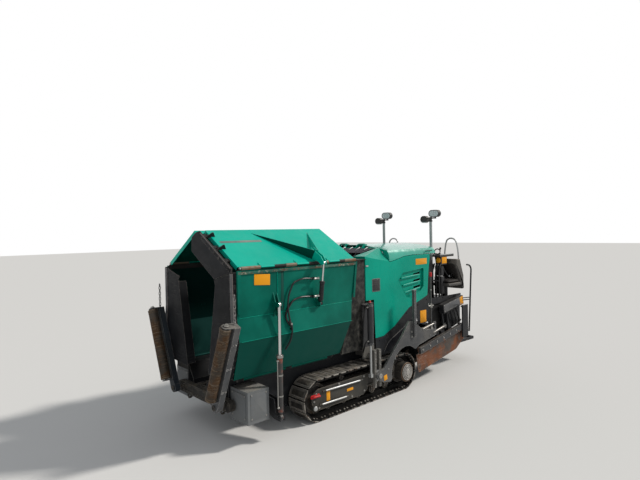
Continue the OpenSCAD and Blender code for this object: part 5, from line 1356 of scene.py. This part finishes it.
def makeScreens(p):
    makeBoth("deckScreen", onSide(slab(p["deck"], 0.003), p["deckX"]), "rubber")
    makeBoth("screedScreen", onSide(slab(p["screed"], 0.003), p["screedX"]), "rubber", "screed")
    lines = []
    for k in range(p["hoses"]):
        s, odd = p["hoseStart"] + p["hoseStep"] * k, k % 2
        path = [(0.584, s, 0.955), (0.590, s + 0.006, 0.880), (0.588, s - 0.010 * odd, 0.790),
                (0.582, s + 0.022, 0.720)]
        lines.append(pipe(path, 0.0085 + 0.002 * odd))
    makeBoth("deckHoses", joined(*lines), "hoseRubber")


makeScreens(screens)
print("tow trim done")


# lamps: glasses, ribs and collars on the masts

lamps = {
    "front": (0.076, 2.213, 0.075, 0.041), "rear": (-0.112, 2.135, 0.049, 0.041),  # x, z, half width, half height
    "mast": (0.430, 3.430), "frontS": 3.3965, "rearS": 3.4735, "ribs": 9,
}


def makeLamps(p):
    mastX, mastS = p["mast"]
    for side, sign in (("Left", 1), ("Right", -1)):
        body = "mast_" + side.lower()
        panes = {}
        for name in ("front", "rear"):
            dx, z, w, h = p[name]
            x = sign * mastX + dx
            panes[name] = slab(rounded(x - w, x + w, z - h, z + h, h * 0.98, 8), 0.0045, 0.004, 4)
        dx, z, w, h = p["front"]
        x = sign * mastX + dx
        ribs = [tube([(v, 3.3915, z - h * 0.80), (v, 3.3912, z + h * 0.80)], 0.0022, 6)
                for v in row(x - w * 0.6, x + w * 0.6, p["ribs"])]
        makePiece("frontLampGlass" + side, joined(onFront(panes["front"], p["frontS"]), *ribs), "lampGlass", body)
        rear = panes["rear"][0][:, [0, 2, 1]] + [0, p["rearS"], 0], panes["rear"][1]  # its face looks back
        makePiece("rearLampGlass" + side, rear, "lampGlass", body)
        collar = turned(drum(0.015, 0.0255, 2.10, 2.122), (sign * mastX, mastS, 0), alongZ, 24)
        makePiece("mastCollar" + side, collar, "darkPlastic", body)


makeLamps(lamps)


# seats: a formed shell with two padded cushions and a hoop, in place of the plain CAD seats

seat = {
    "x": 0.530, "half": 0.150,
    "profile": [(3.795, 1.182), (3.795, 1.262), (3.668, 1.488), (3.700, 1.556), (3.786, 1.556), (3.876, 1.318),
                (3.876, 1.124), (3.852, 1.122), (3.848, 1.182)],
    "pan": (3.482, 3.800, 1.182, 1.224, 0.016),
    "stem": [(0.010, 0.985), (0.060, 0.985), (0.060, 0.992), (0.040, 0.998), (0.037, 1.010), (0.037, 1.176),
             (0.050, 1.184), (0.010, 1.186)],
    "stemPlace": (0.500, 3.660, 0),
    "cushion": (0.140, 0.152, 0.036), "cushionPlace": (3.640, 1.248),  # half width, half length, half height
    "back": (0.132, 0.125, 0.030), "backPlace": (3.722, 1.388),
    "fill": 0.8,
    "hoop": [(-0.115, 3.790, 1.405), (-0.112, 3.790, 1.56), (-0.100, 3.790, 1.70), (-0.075, 3.790, 1.812),
             (-0.030, 3.790, 1.850), (0.030, 3.790, 1.850), (0.078, 3.790, 1.812), (0.108, 3.790, 1.70),
             (0.120, 3.790, 1.56), (0.125, 3.790, 1.405)],
}


def pillow(a, b, c, square=0.32, swell=0.55, rows=22, cols=56, grooves=3):
    # a superellipsoid: x = a cos^e(v) cos^q(u), y = b cos^e(v) sin^q(u), z = c sin^0.8(v); its sides pull in
    # between the corners, its crown falls off to the rims, and grooves run across it
    v = np.linspace(-np.pi / 2 + 0.02, np.pi / 2 - 0.02, rows)[:, None]
    u = np.linspace(0, 2 * np.pi, cols, endpoint=False)[None, :]
    power = lambda w, e: np.sign(w) * np.abs(w) ** e
    x = power(np.cos(v), swell) * power(np.cos(u), square)
    y = power(np.cos(v), swell) * power(np.sin(u), square)
    z = power(np.sin(v), 0.8) + 0 * u
    pull = 1 - 0.045 * (1 - np.minimum(np.abs(x), np.abs(y)) ** 2) * np.maximum(np.abs(x), np.abs(y)) ** 4
    crown = np.where(z > 0, (1 - 0.30 * x ** 2) * (1 - 0.22 * y ** 2), 0.55)
    seams = sum(np.exp(-((y - k) / 0.035) ** 2) for k in row(-0.55, 0.55, grooves))
    z = c * (z * crown - 0.16 * np.where(z > 0.3, seams, 0))
    return closedRings(np.stack([a * x * pull, b * y * pull, z], axis=-1))


def makeSeat(side, flip, p):
    x, width = p["x"], 2 * p["half"]
    shell = joined(onSide(slab(p["profile"], width, 0.018, 4), x - p["half"]),
                   onSide(slab(rounded(*p["pan"]), width, 0.014, 3), x - p["half"]))
    shellPiece = makePiece("seatShell" + side, flip(shell), "seatShell")
    makePiece("seatStem" + side, flip(turned(p["stem"], p["stemPlace"], alongZ, 32)), "darkPaint")
    lean = math.atan2(1.488 - 1.262, 3.668 - 3.795)  # of the profile's front line, on which the back cushion lies
    cushion = carried(pillow(*p["cushion"]), (x, *p["cushionPlace"]), alongX, alongS)
    back = carried(pillow(*p["back"]), (x, *p["backPlace"]), (-1, 0, 0), (0, math.cos(lean), math.sin(lean)))
    soft = [makePiece(name + side, flip(shape), "seatCover", "chassis", 80)
            for name, shape in (("seatCushion", cushion), ("seatBack", back))]
    hoop = pipe([(x + dx, s, z) for dx, s, z in p["hoop"]], 0.0112, 14)
    hoopPiece = makePiece("seatHoop" + side, flip(hoop), "silverPaint")
    for piece in [shellPiece, hoopPiece] + soft:
        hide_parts("seat_" + side.lower())


for side, flip in eachSide:
    makeSeat(side, flip, seat)
print("seats done")


# console: panels, keys, lever, ring grip, switch boxes and a bundle of hoses below it

console = {
    "top": 1.626,
    "panel": (0.16, 0.42, 3.50, 3.70), "middle": (-0.13, 0.13, 3.49, 3.60),
    "keys": grid(row(0.19, 0.39, 7), row(3.53, 3.67, 4)),
    "lever": [(0.46, 3.60, -0.002), (0.46, 3.60, 0.012), (0.46, 3.605, 0.016), (0.462, 3.612, 0.075)],
    "leverKnob": [(0.462, 3.612, 0.070), (0.462, 3.612, 0.078), (0.463, 3.614, 0.095), (0.463, 3.615, 0.102)],
    "edge": (0.5925, 0.6000, 3.400, 3.738),
    "switchBoxes": [((0.464, 0.584, 1.075, 1.322), 0.075), ((0.470, 0.575, 1.330, 1.470), 0.060)],
    "hoses": 10, "hoseX": 0.4275, "hoseStep": 0.0175, "clamp": (0.466, 0.604, 1.262, 1.276),
    "lamp": [(0.010, 0), (0.040, 0), (0.040, 0.006), (0.034, 0.012), (0.024, 0.017), (0.010, 0.019)],
    "lampPlace": (0.547, 3.4295, 1.552), "boxS": 3.520, "clampS": 3.3745,
}


def makeConsoleTrim(c):
    top = c["top"]
    lift = np.array([0, 0, top])
    side = onTop(plate(*c["panel"], 0.010, 0.004, 0.0015), top - 0.0004)
    middle = onTop(plate(*c["middle"], 0.010, 0.018, 0.006), top - 0.0004)
    makePiece("controlPanels", joined(bothSides(side), middle), "midPaint")
    key = plate(-0.008, 0.008, -0.008, 0.008, 0.003, 0.009, 0.002)
    makeBoth("controlKeys", repeated(key, [(x, s, top + 0.0034) for x, s in c["keys"]]), "darkPlastic")
    stick = [tube(c["lever"] + lift, [0.020, 0.016, 0.006, 0.006], 14),
             tube(c["leverKnob"] + lift, [0.006, 0.014, 0.014, 0.005], 14)]
    makeBoth("driveLever", joined(*stick), "darkPlastic")
    grip = joined(ring((0.515, 3.455, top + 0.046), (0.3, -0.9, 0.25), 0.040, 0.0075, 32, 10),
                  tube([(0.515, 3.470, top - 0.002), (0.515, 3.462, top + 0.010)], 0.010, 12))
    makePiece("ringGrip", grip, "darkPlastic")
    makeBoth("consoleEdge", onTop(slab(rectangle(*c["edge"]), 0.013, 0.003), top - 0.001), "silverPaint")
    boxes = [onFront(plate(*place, 0.010, deep, 0.006), c["boxS"]) for place, deep in c["switchBoxes"]]
    makeBoth("switchBoxes", joined(*boxes), "darkPlastic")
    makeBoth("consoleLamp", turned(c["lamp"], c["lampPlace"], forward, 28), "signOrange")


def makeConsoleHoses(c):
    # side by side down the console's front, bowed by a sine; the outer ones take turns in three rows
    bunch = []
    for k in range(c["hoses"]):
        x, bow = c["hoseX"] + c["hoseStep"] * k, 0.012 * math.sin(k * 2.4)
        s = 3.366 if k < 3 else 3.386 + 0.020 * (k * 2 % 3)
        path = [(x, s + 0.045, 1.503), (x + bow, s + 0.012, 1.455), (x - bow, s + 0.006, 1.360 + bow),
                (x + 0.6 * bow, s - 0.006, 1.200), (x, s + 0.004, 1.080), (x - 0.01, s + 0.020, 0.992)]
        bunch.append(pipe(path, 0.0088 + 0.0022 * (k % 2)))
    makeBoth("consoleHoses", joined(*bunch), "hoseRubber")
    makeBoth("hoseClamp", onFront(plate(*c["clamp"], 0.004, 0.004, 0.001), c["clampS"]), "midPaint")


makeConsoleTrim(console)
makeConsoleHoses(console)


# free cords from the console to the deck and the mast

cables = {
    "radius": 0.0095,
    "runs": [
        [(0.545, 3.480, 1.600), (0.556, 3.500, 1.500), (0.575, 3.555, 1.380), (0.582, 3.640, 1.316),
         (0.575, 3.730, 1.350), (0.560, 3.800, 1.470), (0.545, 3.845, 1.520)],
        [(0.520, 3.500, 1.600), (0.536, 3.530, 1.480), (0.560, 3.585, 1.370), (0.570, 3.660, 1.300),
         (0.566, 3.752, 1.330), (0.548, 3.822, 1.450)],
        [(0.500, 3.455, 1.490), (0.520, 3.460, 1.380), (0.545, 3.470, 1.250), (0.560, 3.475, 1.120),
         (0.560, 3.470, 1.040), (0.555, 3.450, 0.990)],
        [(0.470, 3.470, 1.600), (0.500, 3.480, 1.420), (0.530, 3.500, 1.240), (0.548, 3.510, 1.100),
         (0.540, 3.500, 0.990)],
    ],
    "clip": [(0.010, -0.009), (0.0135, -0.007), (0.0135, 0.007), (0.010, 0.009)],
    "clipPlace": (0.5815, 3.632, 1.3165), "clipAxis": (0.02, 1, -0.1),
}


def makeCables(c):
    for k, points in enumerate(c["runs"]):
        path = curveThrough(points, 8)
        piece = makePiece("deckCable" + str(k + 1), tube(path, c["radius"], 12), "hoseRubber")
    makePiece("cableClip", turned(c["clip"], c["clipPlace"], c["clipAxis"], 16), "silverPaint")


makeCables(cables)
print("console trim done")


# bolts and studs of the deck, the step, the front beam and the guides

details = {
    "deckBolts": row(3.18, 3.88, 6),
    "deckStuds": (0.009, 0.9848, grid(row(-0.36, 0.36, 13), row(3.64, 3.90, 6))),  # radius, z and the places
    "stepStuds": (0.008, 0.3078, grid(row(-0.50, 0.50, 21), row(3.99, 4.30, 6))),
    "beamBolts": grid((-0.44, 0.44), (0.32, 0.39)) + grid(row(-0.38, 0.38, 5), (0.311, 0.399)),
    "guideBolts": grid((1.835, 1.915), row(0.20, 0.57, 6)),
}


def makeDetails(p):
    makeBoth("deckBolts", sideBolts(0.008, 0.590, [(s, 1.025) for s in p["deckBolts"]]), "darkPaint")
    for name in ("deckStuds", "stepStuds"):
        r, z, places = p[name]
        stud = turned([(0.003, 0), (r, 0), (r - 0.002, 0.003), (0.003, 0.0035)], (0, 0, 0), alongZ, 8)
        makePiece(name, repeated(stud, [(x, s, z) for x, s in places]), "darkPaint")
    makePiece("beamBolts", bolts(forward, 0.009, [(x, 0.0048, z) for x, z in p["beamBolts"]]), "apronSteel")
    makeBoth("guideBolts", sideBolts(0.007, 0.7355, p["guideBolts"]), "zincSteel")


makeDetails(details)
print("details done")


# floor

def makeFloor():
    mesh = bpy.data.meshes.new("studioFloor")
    half = studio["floorHalf"]
    mesh.from_pydata([(x, y, 0) for x, y in rectangle(-half, half, -half, half)], [], [(0, 1, 2, 3)])
    floor = bpy.data.objects.new("studioFloor", mesh)
    scene.collection.objects.link(floor)
    mat = bpy.data.materials.new("studioFloor")
    mat.use_nodes = True
    tree = mat.node_tree
    tree.nodes.clear()
    flat = addNode(tree, "ShaderNodeBsdfDiffuse", Color=rgba(studio["floorColor"]))
    outputNode(tree, "ShaderNodeOutputMaterial", flat.outputs[0])
    mesh.materials.append(mat)


makeFloor()
